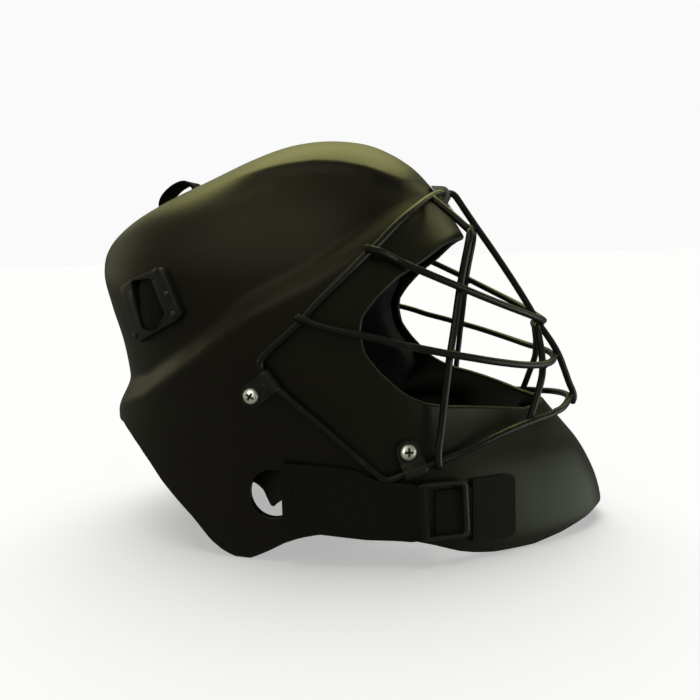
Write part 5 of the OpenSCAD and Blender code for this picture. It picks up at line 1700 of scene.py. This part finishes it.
class HelmetSizes(bpy.types.PropertyGroup):
    """Sizes of the pieces that scene.py makes. They start as the solids have them."""
    wall: length("Wall", "Thickness of the shell's moulded wall", 0.004)
    wire: length("Wire", "Diameter of the cage's wires", 0.0044)
    clip_width: length("Clip width", "Width of the folded clips on the rim wire", 0.014)
    clip_sheet: length("Clip sheet", "Thickness of the clips' and the saddle's sheet", 0.0016)
    screw_head: length("Screw head", "Diameter of the pan heads", 0.0094)
    strap: length("Strap", "Thickness of one layer of the neck strap", 0.0022)
    strap_hole: length("Strap hole", "Diameter of the round holes at the cheeks", 0.029)
    ring_bar: length("Ring bar", "Thickness of the buckle rings", 0.0038)
    plate: length("Slot plate", "Height of the slot plates over the shell", 0.0045)
    web: length("Web", "Thickness of the webs", 0.0018)
    top_web: length("Top web", "Width of the web over the crown", 0.02)
    pad: length("Pad", "Thickness of the foam pads", 0.017)


class HelmetColours(bpy.types.PropertyGroup):
    """Two colours for each finish: its ground, and its high, worn or cloudy places."""
    shell_dark: tone("Shell", "Ground of the shell's plastic", (0.0065, 0.0058, 0.004))
    shell_light: tone("Shell, worn", "Scuffs and dust on the shell", (0.024, 0.022, 0.016))
    clip_dark: tone("Clips", "Ground of the folded clips", (0.022, 0.021, 0.017))
    clip_light: tone("Clips, worn", "Scuffs on the folded clips", (0.06, 0.058, 0.048))
    brow_clip_dark: tone("Saddle", "Ground of the brow saddle", (0.15, 0.15, 0.13))
    brow_clip_light: tone("Saddle, worn", "Scuffs on the brow saddle", (0.48, 0.48, 0.43))
    plate_dark: tone("Plates", "Ground of the slot plates", (0.018, 0.018, 0.016))
    plate_light: tone("Plates, worn", "Scuffs on the slot plates", (0.07, 0.07, 0.064))
    ring_dark: tone("Rings", "Ground of the buckle rings", (0.022, 0.022, 0.021))
    ring_light: tone("Rings, worn", "Scuffs on the buckle rings", (0.08, 0.08, 0.075))
    # the inner plastic also colours the screws' dark rings and recess crosses, which are painted
    # shade
    inner_dark: tone("Inside", "Ground of the inner plastic", (0.012, 0.012, 0.012))
    inner_light: tone("Inside, worn", "Scuffs on the inner plastic", (0.04, 0.04, 0.04))
    thread_dark: tone("Thread", "Hollows of the stitches", (0.010, 0.010, 0.010))
    thread_light: tone("Thread, high", "Tops of the stitches", (0.06, 0.058, 0.05))
    wire_dark: tone("Wire", "Coating of the cage's wires", (0.012, 0.012, 0.010))
    wire_light: tone("Wire, rubbed", "Rubs on the wires' coating", (0.05, 0.05, 0.042))
    zinc_dark: tone("Zinc, stained", "Stains on the screws", (0.50, 0.54, 0.44))
    zinc_light: tone("Zinc", "Ground of the screws", (0.97, 1.0, 0.90))
    dark_rivet_dark: tone("Rivets, stained", "Stains on the rivets", (0.03, 0.03, 0.03))
    dark_rivet_light: tone("Rivets", "Ground of the dark rivets", (0.12, 0.12, 0.11))
    # for the three weaves the dark colour is painted shade in their hollows, and the light one
    # painted highlight on their tops and their fibres
    elastic_dark: tone("Elastic", "Hollows of the elastic's weave", (0.006, 0.006, 0.006))
    elastic_light: tone("Elastic, high", "Ribs and fibres of the elastic", (0.075, 0.070, 0.058))
    web_dark: tone("Webs", "Hollows of the webs' weave", (0.006, 0.006, 0.006))
    web_light: tone("Webs, high", "Ribs and fibres of the webs", (0.05, 0.048, 0.042))
    anchor_dark: tone("Anchors", "Hollows of the anchors' herringbone", (0.006, 0.006, 0.006))
    anchor_light: tone("Anchors, high", "Ribs and fibres of the anchors", (0.105, 0.098, 0.085))
    foam_dark: tone("Foam", "Darker clouds of the foam", (0.010, 0.011, 0.014))
    foam_light: tone("Foam, light", "Lighter clouds of the foam", (0.028, 0.030, 0.036))


class HelmetLights(bpy.types.PropertyGroup):
    """Levels of the stage."""
    softboxes: FloatProperty(name="Softboxes", description="Level of all softboxes",
                             default=1.0, min=0.1, max=5, subtype="FACTOR")
    floor_light: FloatProperty(name="Floor light", description="Strength of the floor's sun",
                               default=1.9, min=0.1, max=9)
    floor_glow: FloatProperty(name="Floor glow", description="Light that the floor gives off",
                              default=0.42, min=0, max=1, subtype="FACTOR")
    floor_shade: FloatProperty(name="Floor shade", description="Grey level of the floor",
                               default=0.86, min=0.1, max=1, subtype="FACTOR")
    world_light: FloatProperty(name="World light", description="Strength of the world's light",
                               default=0.125, min=0, max=2)
    backdrop: tone("Backdrop", "Colour behind the floor", (0.955, 0.955, 0.955))


class HELMET_OT_stage(bpy.types.Operator):
    """Set up the camera, the pale floor, the world and the lights"""
    bl_idname = "helmet.stage"
    bl_label = "Stage, lights and camera"

    def execute(self, context):
        stage_pieces()
        return {"FINISHED"}


class HELMET_OT_shell(bpy.types.Operator):
    """Build the moulded shell with its holes, slots and rolled edges"""
    bl_idname = "helmet.shell"
    bl_label = "Moulded shell"

    def execute(self, context):
        shell_piece()
        return {"FINISHED"}


class HELMET_OT_cage(bpy.types.Operator):
    """Build the wires of the face cage and their welds"""
    bl_idname = "helmet.cage"
    bl_label = "Face cage"

    def execute(self, context):
        cage_pieces()
        return {"FINISHED"}


class HELMET_OT_clips(bpy.types.Operator):
    """Build the four folded clips that hold the rim wire"""
    bl_idname = "helmet.clips"
    bl_label = "Clips"

    def execute(self, context):
        clip_pieces()
        return {"FINISHED"}


class HELMET_OT_screws(bpy.types.Operator):
    """Build the clips' pan screws with their rings, and dress their nuts"""
    bl_idname = "helmet.screws"
    bl_label = "Screws"

    def execute(self, context):
        screw_pieces()
        return {"FINISHED"}


class HELMET_OT_plates(bpy.types.Operator):
    """Build the raised plates round the webs' slots, with their rivets"""
    bl_idname = "helmet.plates"
    bl_label = "Slot plates"

    def execute(self, context):
        plate_pieces()
        return {"FINISHED"}


class HELMET_OT_saddle(bpy.types.Operator):
    """Build the saddle that holds the cage to the brow, and dress its rivets"""
    bl_idname = "helmet.saddle"
    bl_label = "Brow saddle"

    def execute(self, context):
        saddle_piece()
        return {"FINISHED"}


class HELMET_OT_neck_strap(bpy.types.Operator):
    """Build the elastic neck strap"""
    bl_idname = "helmet.neck_strap"
    bl_label = "Neck strap"

    def execute(self, context):
        neck_strap_piece()
        return {"FINISHED"}


class HELMET_OT_strap_ends(bpy.types.Operator):
    """Build the neck strap's turned ends with their stitches"""
    bl_idname = "helmet.strap_ends"
    bl_label = "Strap ends"

    def execute(self, context):
        strap_end_pieces()
        return {"FINISHED"}


class HELMET_OT_rings(bpy.types.Operator):
    """Build the rectangular buckle rings"""
    bl_idname = "helmet.rings"
    bl_label = "Buckle rings"

    def execute(self, context):
        ring_pieces()
        return {"FINISHED"}


class HELMET_OT_anchors(bpy.types.Operator):
    """Build the woven anchors of the rings, and dress their rivets"""
    bl_idname = "helmet.anchors"
    bl_label = "Ring anchors"

    def execute(self, context):
        anchor_pieces()
        return {"FINISHED"}


class HELMET_OT_webs(bpy.types.Operator):
    """Build the webs of the plate behind the head, and dress the plate"""
    bl_idname = "helmet.webs"
    bl_label = "Webs and back plate"

    def execute(self, context):
        web_pieces()
        return {"FINISHED"}


class HELMET_OT_pads(bpy.types.Operator):
    """Build the foam pads"""
    bl_idname = "helmet.pads"
    bl_label = "Foam pads"

    def execute(self, context):
        pad_pieces()
        return {"FINISHED"}


STEPS = [HELMET_OT_stage, HELMET_OT_shell, HELMET_OT_cage, HELMET_OT_clips, HELMET_OT_screws,
         HELMET_OT_plates, HELMET_OT_saddle, HELMET_OT_neck_strap, HELMET_OT_strap_ends,
         HELMET_OT_rings, HELMET_OT_anchors, HELMET_OT_webs, HELMET_OT_pads]
SETTINGS = {"helmet_sizes": HelmetSizes, "helmet_colours": HelmetColours,
            "helmet_lights": HelmetLights}


class HELMET_PT_panel(bpy.types.Panel):
    """Lists the settings and the steps in the sidebar"""
    bl_label = "Goalkeeper helmet"
    bl_idname = "HELMET_PT_panel"
    bl_space_type = "VIEW_3D"
    bl_region_type = "UI"
    bl_category = "Helmet"

    def draw(self, context):
        for group, kind in SETTINGS.items():
            rows = self.layout.box()
            for key in kind.__annotations__:
                rows.prop(getattr(context.scene, group), key)
        for step in STEPS:
            self.layout.operator(step.bl_idname)


CLASSES = [*SETTINGS.values(), *STEPS, HELMET_PT_panel]


def register():
    """Registers the classes and puts the settings on the scene."""
    for c in CLASSES:
        bpy.utils.register_class(c)
    for group, kind in SETTINGS.items():
        setattr(bpy.types.Scene, group, PointerProperty(type=kind))


def unregister():
    """Takes the settings and the classes away again."""
    for group in SETTINGS:
        delattr(bpy.types.Scene, group)
    for c in reversed(CLASSES):
        bpy.utils.unregister_class(c)


def main():
    """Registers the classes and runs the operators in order."""
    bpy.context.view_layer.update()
    register()
    ops = bpy.ops.helmet
    for call in (ops.stage, ops.shell, ops.cage, ops.clips, ops.screws, ops.plates, ops.saddle,
                 ops.neck_strap, ops.strap_ends, ops.rings, ops.anchors, ops.webs, ops.pads):
        call()


if __name__ == "__main__":
    main()
